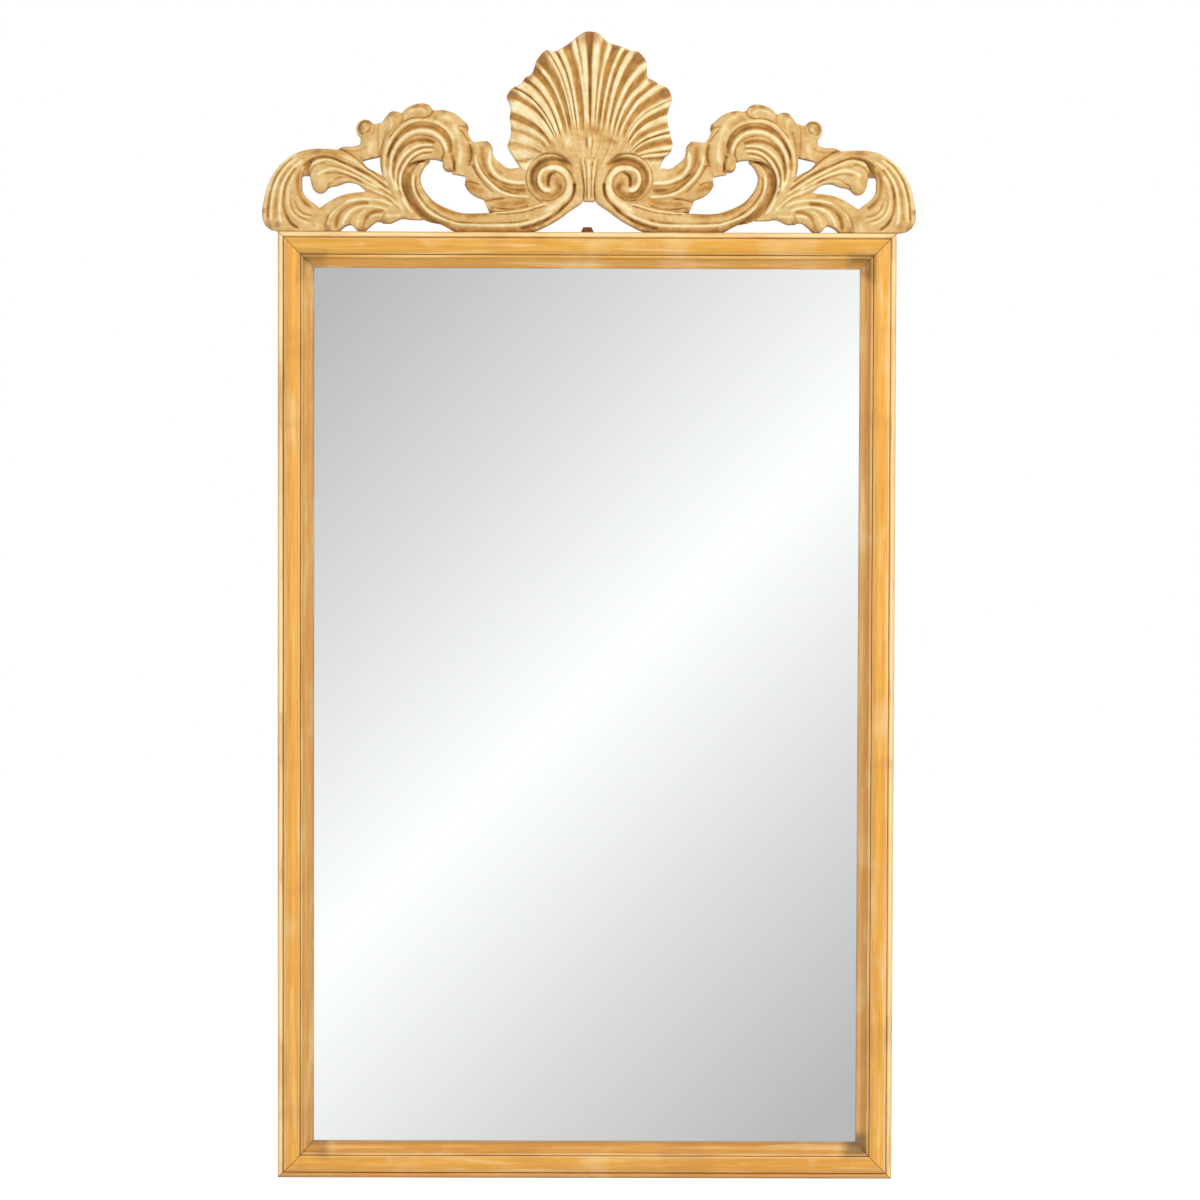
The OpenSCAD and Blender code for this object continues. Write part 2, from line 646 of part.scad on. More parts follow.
// Ends of the shell's rays from its left foot over the top to its right foot.
shell_rim = [[-79, 72], [-84, 83], [-89, 92], [-88, 98], [-86, 104], [-85.5, 110], [-86, 117],
    [-87, 124], [-86, 131], [-87.5, 139], [-90, 147], [-84, 155.5], [-75, 160.5], [-70, 167],
    [-64, 170], [-60.5, 177], [-57.5, 186], [-48, 196.5], [-38, 195.5], [-31, 199], [-22, 204],
    [-11, 210.5], [1, 218], [13, 213], [20, 205.5], [30, 202.5], [38, 200], [45, 196.5], [54, 195],
    [61.5, 186], [62.5, 177], [63.5, 168], [72, 163.5], [76, 160], [86, 155.5], [90, 144], [87, 135],
    [85, 127], [85.5, 118], [87.5, 110], [89, 103], [91, 95], [88, 86.5], [82, 81], [83, 72]];

// Point of the shell on ray t of the fan, at w from the foot to the rim.
function shell_point(t, w, flute) =
    let (rim = spline(shell_rim, t), start = [-47 * cos(180 * t), 78 + 38 * sin(180 * t)],
        foot = [68 * t - 34, 70],
        bend = [start[0] + 0.3 * (rim[0] - start[0]), start[1] + 0.8 * (rim[1] - start[1])],
        k = (w - 0.25) / 0.75,
        p = w < 0.25 ? foot + (start - foot) * w / 0.25
            : start * (1 - k) * (1 - k) + 2 * k * (1 - k) * bend + k * k * rim,
        dome = 21 + 5 * cos(min(180, 220 * abs(w - 0.25))) + 4 * pow(max(k, 0), 3),
        y = dome + (k > 0 ? 2.6 * flute * sqrt(k) : 0))
    [p[0], -y, p[1]];

module shell_body() {
    rays = 2 * (len(shell_rim) - 1);
    relief_solid([for (i = [0:rays]) [for (j = [0:6])
        shell_point(i / rays, j / 6, i % 4 == 0 ? 1 : i % 4 == 2 ? -1 : 0)]]);
}

module solid_of(outline, gap) {
    translate([0, 1, 0]) rotate([90, 0, 0]) linear_extrude(cut_depth) offset(delta = gap) polygon(outline);
}

module scroll_area(gap) {
    solid_of(footprint(bow), gap);
    translate([volute[0], 1, volute[1]]) rotate([90, 0, 0])
        cylinder(h = cut_depth, r = volute_r + gap, $fn = 28);
}

module acanthus_area(gap) {
    for (e = [hook, under_leaf, last_leaf, fall, head, cap]) solid_of(footprint(e), gap);
}

module clasp_area(gap) {
    solid_of(footprint(clasp), gap);
}

// Puts one piece of carving on its side of the crest, at its real size: -1 left, 1 right.
module on_crest(side) {
    across = (frame_w / 2 + crest_overhang) / max([for (e = sweep) e[0][0]]);
    up = crest_h / max([for (p = shell_rim) p[1]]);
    translate([0, back_y, rail_top_z]) mirror([side < 0 ? 1 : 0, 0, 0])
        scale([across, crest_depth / 30, up]) children();
}

module crest_holes() {
    for (p = strap_screw_spots()) translate(p) pilot();
    dowel_holes();
}

module crest_scroll(side) {
    color(carved_pine) difference() {
        on_crest(side) difference() {
            union() {
                ribbon(bow, [24, 23, 21, 18], 1, 2.5, 4);
                translate([volute[0], 0, volute[1]]) rotate([90, 0, 0]) {
                    cylinder(h = 21, r = volute_r, $fn = 28);
                    difference() {
                        cylinder(h = 25, r1 = volute_r, r2 = volute_r - 2, $fn = 28);
                        translate([0, 0, 20]) cylinder(h = 12, r1 = 16, r2 = 24, $fn = 28);
                    }
                }
                for (i = [0:13]) lobe(spline(spiral, i / 14), spline(spiral, (i + 1) / 14),
                    2 + i / 7, 2 + i / 7, 28, 28);
                lobe(volute, volute + [1, 0], 6, 6, 22, 23);
            }
            clasp_area(glue_gap);
        }
        crest_holes();
    }
}

module crest_acanthus(side) {
    color(carved_pine) difference() {
        on_crest(side) difference() {
            union() {
                ribbon(head, [20, 22, 25, 24, 22], 3, 3.5, 9);
                ribbon(cap, [19, 20, 21, 20, 18], 1, 1, 2);
                ribbon(fall, [22, 20, 19], 1, 1.5, 4);
                ribbon(hook, [22, 21, 23, 22], 2, 4, 6);
                ribbon(under_leaf, [20, 20, 17], 1, 3, 4);
                ribbon(last_leaf, [20, 19, 16], 1, 2.5, 4);
                lobe([153, 79], [153, 71], 5, 7, 22, 20);
                lobe([216, 126], [214, 118], 3.5, 4.5, 21, 19);
                lobe([186, 134], [190, 127], 4.5, 6, 21, 19);
                lobe([160, 127], [162, 121], 4.5, 5.5, 21, 19);
                lobe([139, 116], [147, 110], 3.5, 4.5, 20, 19);
                lobe([113, 95], [118, 88], 3.5, 5, 23, 20);
                lobe([131, 55], [122, 54], 4, 5, 19, 18);
                lobe([104, 28], [92, 29], 4, 5, 18, 18);
            }
            scroll_area(glue_gap);
        }
        crest_holes();
    }
}

module crest_spray(side) {
    color(carved_pine) difference() {
        on_crest(side) difference() {
            union() {
                ribbon(sweep, [20, 20, 21, 22, 23, 22], 3, 3, 9);
                ribbon(inner_leaf, [20, 19, 19, 18], 2, 2, 5);
                ribbon(low_leaf, [20, 19, 18, 20], 2, 2.5, 6);
                ribbon(bud_stem, [18, 18, 19], 1, 2, 4);
                ribbon(leaflet, [15, 16, 17], 1, 1, 3);
                lobe([244, 111], [244, 110], 9.5, 9.5, 21, 21);
                lobe([243, 111], [244, 111], 5, 5, 24, 24);
                lobe([294, 52], [292, 58], 7, 7, 20, 20);
                lobe([282, 6], [284, 14], 4, 6, 22, 20);
                lobe([248, 5], [244, 14], 3.5, 6, 21, 19);
                lobe([224, 13], [220, 19], 3, 5, 18, 19);
                lobe([270, 88], [260, 86], 2.5, 3, 18, 18);
                lobe([346, 8], [338, 14], 4, 6, 21, 20);
            }
            acanthus_area(glue_gap);
            scroll_area(glue_gap);
        }
        crest_holes();
    }
}

module crest_shell() {
    color(carved_pine) difference() {
        on_crest(1) difference() {
            union() {
                shell_body();
                lobe([0.5, 100], [0.5, 92], 1.5, 2.4, 28, 28);
                for (s = [-1, 1]) {
                    lobe([s * 86, 148], [s * 80, 146], 2.5, 3.5, 24, 22);
                    lobe([s * 57, 190], [s * 52, 182], 2.5, 3.5, 24, 22);
                    lobe([s * 22, 202], [s * 20, 194], 2, 3, 24, 22);
                }
                lobe([1, 214], [1, 204], 4, 4, 24, 21);
            }
            clasp_area(glue_gap);
            for (s = [0, 1]) mirror([s, 0, 0]) {
                scroll_area(glue_gap);
                acanthus_area(glue_gap);
            }
        }
        crest_holes();
    }
}

module crest_clasp() {
    color(carved_pine) on_crest(1) intersection() {
        union() {
            ribbon(clasp, [23, 25, 25, 24, 22], 1, 1, 6);
            for (k = [-2:2]) {
                lobe([k * 5.2, 77], [k * 1.6, 50], 2.4, 1.6, 26, 27);
                lobe([k * 1.6, 50], [k * 2, 37], 1.6, 2, 27, 25);
            }
        }
        solid_of(footprint(clasp), -trim);
    }
}

rail_stock(0);  // rail_top
rail_stock(1);  // stile_right
rail_stock(2);  // rail_bottom
rail_stock(3);  // stile_left
slip_stock(0);  // slip_top
slip_stock(1);  // slip_right
slip_stock(2);  // slip_bottom
slip_stock(3);  // slip_left
mitre_keys();
mirror_plate();
soft_sheet();
back_board();
setting_blocks();
turn_button(1);  // turn_button_1
turn_button(2);  // turn_button_2
turn_button(3);  // turn_button_3
turn_button(4);  // turn_button_4
turn_button(5);  // turn_button_5
turn_button(6);  // turn_button_6
turn_button(7);  // turn_button_7
turn_button(8);  // turn_button_8
screws_at(button_screw_spots());  // button_screws
ring_strap(-1);  // ring_strap_left
ring_strap(1);  // ring_strap_right
hanging_ring(-1);  // hanging_ring_left
hanging_ring(1);  // hanging_ring_right
screws_at(ring_screw_spots());  // ring_screws
corner_plate(1);  // corner_plate_1
corner_plate(2);  // corner_plate_2
corner_plate(3);  // corner_plate_3
corner_plate(4);  // corner_plate_4
screws_at(corner_spots());  // corner_screws
hanger_plate();
screws_at(hanger_screw_spots());  // hanger_screws
bumper(-1);  // bumper_left
bumper(1);  // bumper_right
crest_shell();
crest_clasp();
crest_scroll(-1);  // crest_scroll_left
crest_scroll(1);  // crest_scroll_right
crest_acanthus(-1);  // crest_acanthus_left
crest_acanthus(1);  // crest_acanthus_right
crest_spray(-1);  // crest_spray_left
crest_spray(1);  // crest_spray_right
crest_strap(-1);  // crest_strap_left
crest_strap(1);  // crest_strap_right
screws_at(strap_screw_spots());  // crest_strap_screws
crest_dowels();
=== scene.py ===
# %% [markdown]
# # A carved pine wall mirror
# The real object is a tall mirror in a frame of moulded pine, with a pierced crest of carved pine on
# top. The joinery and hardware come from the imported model, which this script loads and leaves where
# it is. The script carves the crest in full detail, gives every piece its finish, and sets up a plain
# studio. All lengths are in metres, +Z is up and the front of the mirror faces -Y.

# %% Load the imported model
import math

import bmesh
import bpy
import numpy as np
from mathutils import Euler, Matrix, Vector


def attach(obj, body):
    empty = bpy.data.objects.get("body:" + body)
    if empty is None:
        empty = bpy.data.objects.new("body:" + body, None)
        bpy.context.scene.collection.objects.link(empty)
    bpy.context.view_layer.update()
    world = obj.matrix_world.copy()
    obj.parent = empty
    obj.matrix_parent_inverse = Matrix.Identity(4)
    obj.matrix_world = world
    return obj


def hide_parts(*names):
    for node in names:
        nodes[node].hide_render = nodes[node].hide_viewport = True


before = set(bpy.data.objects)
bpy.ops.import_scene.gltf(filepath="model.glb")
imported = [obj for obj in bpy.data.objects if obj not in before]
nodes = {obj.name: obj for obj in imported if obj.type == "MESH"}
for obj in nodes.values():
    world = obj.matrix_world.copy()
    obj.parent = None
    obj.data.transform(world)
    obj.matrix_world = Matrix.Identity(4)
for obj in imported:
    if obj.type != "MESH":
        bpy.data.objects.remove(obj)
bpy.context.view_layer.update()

MM = 0.001

# %% [markdown]
# ## The camera
# A photo's camera can be found from things of known size in it: the twelve corners of the frame and
# its slip were matched to where they stand in the picture, and one camera place, turn and lens puts
# all of them within about a pixel. It is a long lens from four and a half metres, a little above the
# middle, so the frame's sides stay nearly parallel.

# %% Place the camera
CAMERA_PLACE = (-0.004, -4.438, -0.217)
CAMERA_TURN = (87.89, -0.18, -0.24)
CAMERA_LENS = 121.6
SENSOR_WIDTH = 36


def put_out(name, data):
    """Puts a mesh, a lamp or a camera out in the scene as an object."""
    made = bpy.data.objects.new(name, data)
    bpy.context.scene.collection.objects.link(made)
    return made


lens = bpy.data.cameras.new("camera")
lens.lens = CAMERA_LENS
lens.sensor_width = SENSOR_WIDTH
camera = put_out("camera", lens)
camera.location = CAMERA_PLACE
camera.rotation_euler = Euler([math.radians(a) for a in CAMERA_TURN], "XYZ")
bpy.context.scene.camera = camera
print("camera at", CAMERA_PLACE, "lens", CAMERA_LENS, "mm")

# %% [markdown]
# ## Helpers for finishes
# A finish is a small network of nodes. One function turns a colour written as an sRGB hex value into
# the linear numbers Blender calculates with, and one adds a node of any kind, makes its one setting
# and fills its inputs in a single call. The others are the steps a finisher takes with them: a
# pattern drawn out along the board, a swing about its middle, and a glaze laid over a colour where
# the pattern is strong.

# %% Colour and node helpers
SETTINGS = {"Math": "operation", "VectorMath": "operation", "MapRange": "interpolation_type",
            "Mix": "data_type", "Attribute": "attribute_name"}


def linear(hex_colour):
    """Linear RGBA of an sRGB colour such as #d9a65a."""
    parts = [int(hex_colour[i:i + 2], 16) / 255 for i in (1, 3, 5)]
    return [c / 12.92 if c <= 0.04045 else ((c + 0.055) / 1.055) ** 2.4 for c in parts] + [1.0]


def add(tree, kind, setting=None, *values, **inputs):
    """Adds a node and returns its first output. A colour ramp's setting is its list of stops.

    Values fill the inputs in order, the others by name: numbers, hex colours or sockets to link.
    """
    node = tree.nodes.new("ShaderNode" + kind)
    if kind == "ValToRGB":
        elements = node.color_ramp.elements
        while len(elements) < len(setting):
            elements.new(0.5)
        for element, (place, colour) in zip(elements, setting):
            element.position = place
            element.color = linear(colour)
    elif setting:
        setattr(node, SETTINGS[kind], setting)
    filled = list(zip((socket for socket in node.inputs if socket.enabled), values))
    for socket, value in filled + [(node.inputs[name], value) for name, value in inputs.items()]:
        if isinstance(value, bpy.types.NodeSocket):
            tree.links.new(value, socket)
        else:
            socket.default_value = linear(value) if isinstance(value, str) else value
    return next(socket for socket in node.outputs if socket.enabled)


def wire(tree, node, **sockets):
    """Links sockets to a node's inputs, whose names are written with _ for a space."""
    for name, socket in sockets.items():
        tree.links.new(socket, node.inputs[name.replace("_", " ")])


def start_finish(name, roughness, **sockets):
    """A new material with a Principled shader; returns material, tree, shader and object coordinates."""
    material = bpy.data.materials.new(name)
    material.use_nodes = True
    tree = material.node_tree
    shader = tree.nodes["Principled BSDF"]
    for key, value in {"Roughness": roughness, **sockets}.items():
        shader.inputs[key.replace("_", " ")].default_value = value
    return material, tree, shader, add(tree, "TexCoord").node.outputs["Object"]


def stretched(tree, place, scale, **noise):
    """Noise in features per metre: one scale for an even pattern, or one for each direction."""
    mapped = add(tree, "Mapping", None, place, Scale=np.full(3, scale, float))
    return add(tree, "TexNoise", None, mapped, **{"Scale": 1.0, "Detail": 4.0, "Roughness": 0.55, **noise})


def swing(tree, pattern, amount):
    """A pattern's swing about its middle, times an amount."""
    return add(tree, "Math", "MULTIPLY", add(tree, "Math", "SUBTRACT", pattern, 0.5), amount)


def apart(tree, one, other):
    """How far apart two numbers are."""
    return add(tree, "Math", "ABSOLUTE", add(tree, "Math", "SUBTRACT", one, other))


def glazed(tree, colour, pattern, low, high, most, glaze):
    """Lays a glaze over a colour; it grows to its most as the pattern goes from low to high."""
    amount = add(tree, "MapRange", "SMOOTHSTEP", pattern, low, high, 0.0, most)
    return add(tree, "Mix", "RGBA", amount, colour, glaze)


print("helpers ready")

# %% [markdown]
# ## Honey pine, waxed over lime
# The frame is stripped pine. Lime was wiped into it, and a honey wax laid over that. The bead and
# the high edges are pale, partly rubbed and partly a painted highlight, and the quirk and the joint
# with the slip are painted pale too: painted light that softens the shade in those narrow grooves.
# Those bands run parallel to the frame's edge, so the colour is looked up by the distance from that
# edge. The top rail and the bottom rail differ from the uprights partly in tone and partly by painted
# light, each coloured for the light that falls on its side, with painted shade on the bottom rail's
# bead and outer edge, so there are three rows of colours. Noise drawn out along the rail breaks them
# up as grain does: growth rings in pine stand about 2 to 3 mm apart, and run many times that far along
# the board. Long wax streaks, cream patches, a soft brown line at each mitre and filled nail holes come
# on top. The sides that lie further back carry a brown painted shade, and the inner corners at the
# glass grow darker in patches. The back is left raw. Real pores are finer than a pixel of the render,
# so they are drawn half a millimetre apart.

# %% Make the honey pine
FRAME_HALF_WIDTH = 0.336
FRAME_HALF_HEIGHT = 0.5165
FRAME_MIDDLE_Z = -0.4965
FACE_WIDTH = 0.040
SIGHT_EDGE = 0.038
RING_SPACING = 2.6 * MM
RING_LENGTH = 75 * MM
RING_WANDER = 2.2 * MM
PORE_SPACING = 0.5 * MM
WAX_STREAKS = (120, 7)  # about 8 mm wide and 140 mm long, as features per metre
PATCHES = 14
CORNER_DARKENING_REACH = (22 * MM, 3 * MM)
# Each pair is where a mark begins to show and where it is full.
MITRE_LINE = (1.1 * MM, 0.3 * MM)
NAIL_FILLER = (1.9 * MM, 1.1 * MM)
NAIL_HOLE = (1.0 * MM, 0.6 * MM)
FRAME_FLANK_SHADE_Y = (-22 * MM, -16 * MM)
FRAME_BACK_Y = (-6.6 * MM, -6.1 * MM)
NAIL_MARKS = [
    (-0.3275, -0.0241), (-0.327, -0.1277), (-0.3275, -0.156), (0.3265, -0.33), (-0.327, -0.72),
    (0.327, -0.86), (-0.14, 0.0115), (0.205, 0.0118), (0.11, -1.0045)
]
# Uprights: the pale bead is partly rubbed lime and partly a painted highlight; the pale quirk and slip joint
# are painted light over their shade.
PROFILE_COLOURS = [
    (0.0, "#dcab66"), (0.04, "#f3d08c"), (0.09, "#ffe4a6"), (0.135, "#ffe6ae"), (0.175, "#fbd795"),
    (0.24, "#f0b455"), (0.34, "#e8a438"), (0.46, "#efae44"), (0.56, "#e9a743"), (0.61, "#f6c878"),
    (0.65, "#e3b069"), (0.69, "#d3a055"), (0.75, "#dda95a"), (0.81, "#d39b4c"), (0.87, "#dfa857"),
    (0.93, "#d2a566"), (1.0, "#96693b")
]
# Top rail: its own tone with painted light from above, and a painted highlight on its bead.
UPPER_TONE_AND_LIGHT_COLOURS = [
    (0.0, "#c79a5a"), (0.05, "#fbe0a4"), (0.13, "#ffe2a0"), (0.175, "#efc070"), (0.24, "#e2a640"),
    (0.36, "#dda035"), (0.5, "#e0a43b"), (0.58, "#dca03c"), (0.64, "#e9b45c"), (0.69, "#d8a24a"),
    (0.78, "#e3ab48"), (0.86, "#d89c3e"), (0.93, "#c78e3c"), (1.0, "#9c6c34")
]
# Bottom rail: its own tone with painted shade on its bead and its outer edge.
LOWER_TONE_AND_SHADE_COLOURS = [
    (0.0, "#7f5730"), (0.04, "#b5854b"), (0.1, "#d6a25e"), (0.17, "#edb05a"), (0.24, "#e0a03c"),
    (0.45, "#eaa73f"), (0.56, "#e6a239"), (0.62, "#f8d08a"), (0.67, "#efc07a"), (0.71, "#d89c4c"),
    (0.8, "#e4a23e"), (0.9, "#dc9c40"), (0.95, "#cb9650"), (1.0, "#c59e6c")
]


def with_grain(upright, across, along):
    """A pattern's scale across and along the board, for an upright (Z) or a level rail (X)."""
    return (across, across, along) if upright else (along, across, across)


def honey_pine(name, upright, stops):
    """Pine for uprights or level rails, coloured by stops from the outer edge to the sight edge."""
    material, tree, shader, place = start_finish(name, 0.42, IOR=1.48, Coat_Weight=0.12)
    x, y, z = add(tree, "SeparateXYZ", None, place).node.outputs
    across_x = add(tree, "Math", "SUBTRACT", FRAME_HALF_WIDTH, add(tree, "Math", "ABSOLUTE", x))
    across_z = add(tree, "Math", "SUBTRACT", FRAME_HALF_HEIGHT, apart(tree, z, FRAME_MIDDLE_Z))
    rings = stretched(tree, place, with_grain(upright, 1 / RING_SPACING, 1 / RING_LENGTH),
                      Detail=3.0, Distortion=0.6)
    pores = stretched(tree, place, with_grain(upright, 1 / PORE_SPACING, 3 / RING_LENGTH), Detail=2.0)
    wax = stretched(tree, place, with_grain(upright, *WAX_STREAKS), Detail=3.0, Distortion=0.5)
    patches = stretched(tree, place, PATCHES, Detail=3.0)
    from_edge = across_x if upright else across_z
    wandering = add(tree, "Math", "ADD", from_edge, swing(tree, rings, RING_WANDER))
    colour = add(tree, "ValToRGB", stops, add(tree, "Math", "DIVIDE", wandering, FACE_WIDTH))
    mitre = apart(tree, across_x, across_z)
    for glaze in ((rings, 0.44, 0.72, 0.34, "#c4822f"), (rings, 0.46, 0.28, 0.34, "#f6cf86"),
                  (wax, 0.52, 0.70, 0.52, "#f8d896"), (wax, 0.46, 0.30, 0.50, "#d08a33"),
                  (patches, 0.54, 0.70, 0.30, "#f6dba4"), (patches, 0.44, 0.32, 0.26, "#c07f3c"),
                  (pores, 0.58, 0.74, 0.30, "#a56c33"), (mitre, *MITRE_LINE, 0.62, "#7d5228")):
        colour = glazed(tree, colour, *glaze)
    # Darker in patches towards the inner corners of the sight edge, at the glass.
    aside = [apart(tree, across, SIGHT_EDGE) for across in (across_x, across_z)]
    corner = add(tree, "Math", "MAXIMUM", *aside)
    near = add(tree, "MapRange", "SMOOTHSTEP", corner, *CORNER_DARKENING_REACH, 0.0, 0.75)
    patchy = add(tree, "MapRange", "SMOOTHSTEP", patches, 0.40, 0.6)
    colour = add(tree, "Mix", "RGBA", add(tree, "Math", "MULTIPLY", near, patchy), colour, "#5f4426")
    on_face = add(tree, "CombineXYZ", None, x, 0.0, z)
    for mark_x, mark_z in NAIL_MARKS:
        away = add(tree, "VectorMath", "DISTANCE", on_face, (mark_x, 0.0, mark_z))
        colour = glazed(tree, colour, away, *NAIL_FILLER, 0.55, "#f7e2b4")
        colour = glazed(tree, colour, away, *NAIL_HOLE, 0.75, "#6d4722")
    # The sides that lie further back are darkened: a brown painted shade.
    colour = glazed(tree, colour, y, *FRAME_FLANK_SHADE_Y, 0.35, "#a06f3c")
    raw = add(tree, "Mix", "RGBA", pores, "#c49257", "#9c6a38")
    relief = add(tree, "Math", "ADD", rings, add(tree, "Math", "MULTIPLY", pores, 0.5))
    wire(tree, shader, Base_Color=glazed(tree, colour, y, *FRAME_BACK_Y, 1.0, raw),
         Roughness=add(tree, "MapRange", "SMOOTHSTEP", rings, 0.3, 0.7, 0.36, 0.52),
         Normal=add(tree, "Bump", Distance=0.18 * MM, Height=relief))
    return material


pine_upright = honey_pine("honey_pine_upright", True, PROFILE_COLOURS)
pine_top = honey_pine("honey_pine_top", False, UPPER_TONE_AND_LIGHT_COLOURS)
pine_lowest = honey_pine("honey_pine_lowest", False, LOWER_TONE_AND_SHADE_COLOURS)
print("pine finishes:", pine_upright.name, pine_top.name, pine_lowest.name)

# %% [markdown]
# ## Limed pine carving
# The crest is pine too, but the carver's lime was brushed over it and wiped off a brown glaze, so the
# ribs are cream, the flats tan and the bottoms of the gouge cuts brown. Part of that is painted light:
# a painted highlight where the carving stands proud, painted shade in its hollows, on its flanks and
# along a few drawn strokes, and a brown painted shade on the flanks further back. Most lobes are
# rubbed back to brown wood at their tips. Two numbers that the carving stores on each vertex steer
# this: how much lime the place holds, and how near it is to a rubbed tip. Patches, dabs, grain and
# specks, from 24 mm down to 1 mm, break the lime up as a brush and a rag do.

# %% Make the carving's finish
CREST_FLANK_SHADE_Y = (-19 * MM, -9 * MM)
CREST_BACK_Y = (-6.9 * MM, -6.3 * MM)
TIP_WEAR = 0.85
TAN_LEVEL = 0.47
LIME_GAIN = 0.34
LIME_COLOURS = [
    (0.0, "#704a20"), (0.14, "#946529"), (0.28, "#b5823d"), (0.4, "#c99b55"), (0.52, "#d6b071"),
    (0.64, "#e2c68c"), (0.78, "#efdcab"), (1.0, "#fbf0cd")
]


def limed_carving(name):
    """Cream ribs, tan flats and brown hollows, from the vertices' own numbers."""
    material, tree, shader, place = start_finish(name, 0.55, IOR=1.48)
    lime, rubbed = (add(tree, "Attribute", label).node.outputs["Fac"] for label in ("lime", "rubbed"))
    y = add(tree, "SeparateXYZ", None, place).node.outputs["Y"]
    patches = stretched(tree, place, 42)
    grain = stretched(tree, place, (60, 700, 700), Detail=3.0)
    specks = stretched(tree, place, 900, Detail=2.0)
    dabs = stretched(tree, place, 170, Detail=2.0)
    level = add(tree, "Math", "ADD", TAN_LEVEL, add(tree, "Math", "MULTIPLY", lime, LIME_GAIN))
    for pattern, amount in ((dabs, 0.24), (patches, 0.42), (grain, 0.14)):
        level = add(tree, "Math", "ADD", level, swing(tree, pattern, amount))
    colour = add(tree, "ValToRGB", LIME_COLOURS, level)
    worn = add(tree, "MapRange", "SMOOTHSTEP", patches, 0.30, 0.55, 0.55 * TIP_WEAR, TIP_WEAR)
    tips = add(tree, "Math", "MULTIPLY", rubbed, worn)
    colour = add(tree, "Mix", "RGBA", tips, colour, "#a87440")
    raw = add(tree, "Mix", "RGBA", grain, "#c79a62", "#a2723f")
    # The carving's flanks, which lie further back, get a brown painted shade.
    for glaze in ((specks, 0.62, 0.78, 0.2, "#9b6a37"), (y, *CREST_FLANK_SHADE_Y, 0.75, "#a27341"),
                  (y, *CREST_BACK_Y, 1.0, raw)):
        colour = glazed(tree, colour, *glaze)
    relief = add(tree, "Math", "ADD", grain, add(tree, "Math", "MULTIPLY", specks, 0.6))
    wire(tree, shader, Base_Color=colour,
         Roughness=add(tree, "MapRange", "SMOOTHSTEP", level, 0.2, 0.8, 0.62, 0.48),
         Normal=add(tree, "Bump", Distance=0.12 * MM, Height=relief))
    return material


carving_finish = limed_carving("limed_carved_pine")
print("carving finish:", carving_finish.name)

# %% [markdown]
# ## Drawing a carved leaf
# Every leaf, stem and band of the crest is drawn as two edges, each a smooth curve through a few
# points. A row of a leaf's table is a point on the outer edge and one on the inner edge, and a point
# is the distance from the crest's centre line and the height above the rail, in millimetres. A flat
# grid is laid between the edges, crowned so that the leaf's own edges fall away, and extruded to the
# flat back. That is the blank, as a carver first saws and rounds it.

# %% Curves and blanks
BACK_Y = -6 * MM
RAIL_TOP = 20 * MM
VOLUTE = (42, 58)
VOLUTE_R = 26.5
UNDER_VOLUTE = 14
VOLUTE_MARGIN = 2
SLOPE_BESIDE = 2.5
GRID_STEP = 1.2
CREST_HALF_WIDTH = 356.7
LOBE_FLATNESS = 0.45
LOBE_SIDES = 18


def fair(points, t):
    """Smooth curve through the points, at t from 0 to 1 along them."""
    p = np.asarray(points, float)
    flat = p.ndim == 1
    p = p[:, None] if flat else p
    last = len(p) - 1
    s = np.clip(np.asarray(t, float) * last, 0, last - 1e-4)
    i = s.astype(int)
    f = (s - i)[:, None]
    a, b, c, d = (p[np.clip(i + k, 0, last)] for k in (-1, 0, 1, 2))
    curve = (2 * b + (c - a) * f + (2 * a - 5 * b + 4 * c - d) * f ** 2
             + (3 * b - a - 3 * c + d) * f ** 3) / 2
    return curve[:, 0] if flat else curve


def ease(x):
    """Smooth step from 0 to 1."""
    x = np.clip(x, 0, 1)
    return x * x * (3 - 2 * x)


def beside_volute(x, z, y):
    """Keeps what passes under a volute below its rolled face."""
    away = np.hypot(np.abs(x) - VOLUTE[0], z - VOLUTE[1])
    return np.minimum(y, UNDER_VOLUTE + SLOPE_BESIDE * np.maximum(0, away - VOLUTE_R + VOLUTE_MARGIN))


def flat_grid(bm, across, along):
    """Lays a grid; returns its vertices, its faces and each vertex's place, 0 to 1, across and along."""
    made = bmesh.ops.create_grid(bm, x_segments=across, y_segments=along, size=0.5)["verts"]
    faces = list(dict.fromkeys(face for vert in made for face in vert.link_faces))
    return made, faces, *(np.array([vert.co[:2] for vert in made]).T + 0.5)


def set_down(verts, x, y, z):
    """Moves vertices to drawn places: y is the height over the board's back."""
    x = np.clip(x, -CREST_HALF_WIDTH, CREST_HALF_WIDTH)
    for vert, px, py, pz in zip(verts, x, np.maximum(y, 1), np.maximum(z, 0)):
        vert.co = (px * MM, BACK_Y - py * MM, RAIL_TOP + pz * MM)


def to_the_back(bm, faces):
    """Gives a lifted sheet its thickness, down to the flat back."""
    copy = bmesh.ops.extrude_face_region(bm, geom=faces)["geom"]
    for vert in (item for item in copy if isinstance(item, bmesh.types.BMVert)):
        vert.co.y = BACK_Y


def leaf(bm, edges, rise, drop=3.0, yields=True):
    """The blank of one leaf, crowned across; it rises along its length and yields to the volutes."""
    edges = np.array(edges, float)
    outer, inner = edges[:, :2], edges[:, 2:]
    t = np.linspace(0, 1, 60)
    middle = (fair(outer, t) + fair(inner, t)) / 2
    length = np.hypot(*np.diff(middle, axis=0).T).sum()
    width = np.hypot(*(fair(outer, t) - fair(inner, t)).T).max()
    cells = [max(6, round(extent / GRID_STEP)) for extent in (width, length)]
    made, faces, v, u = flat_grid(bm, *cells)
    a, b = fair(outer, u), fair(inner, u)
    x, z = (a + (b - a) * v[:, None]).T
    y = fair(rise, u) - drop * np.abs(2 * v - 1) ** 5
    set_down(made, x, beside_volute(x, z, y) if yields else y, z)
    to_the_back(bm, faces)


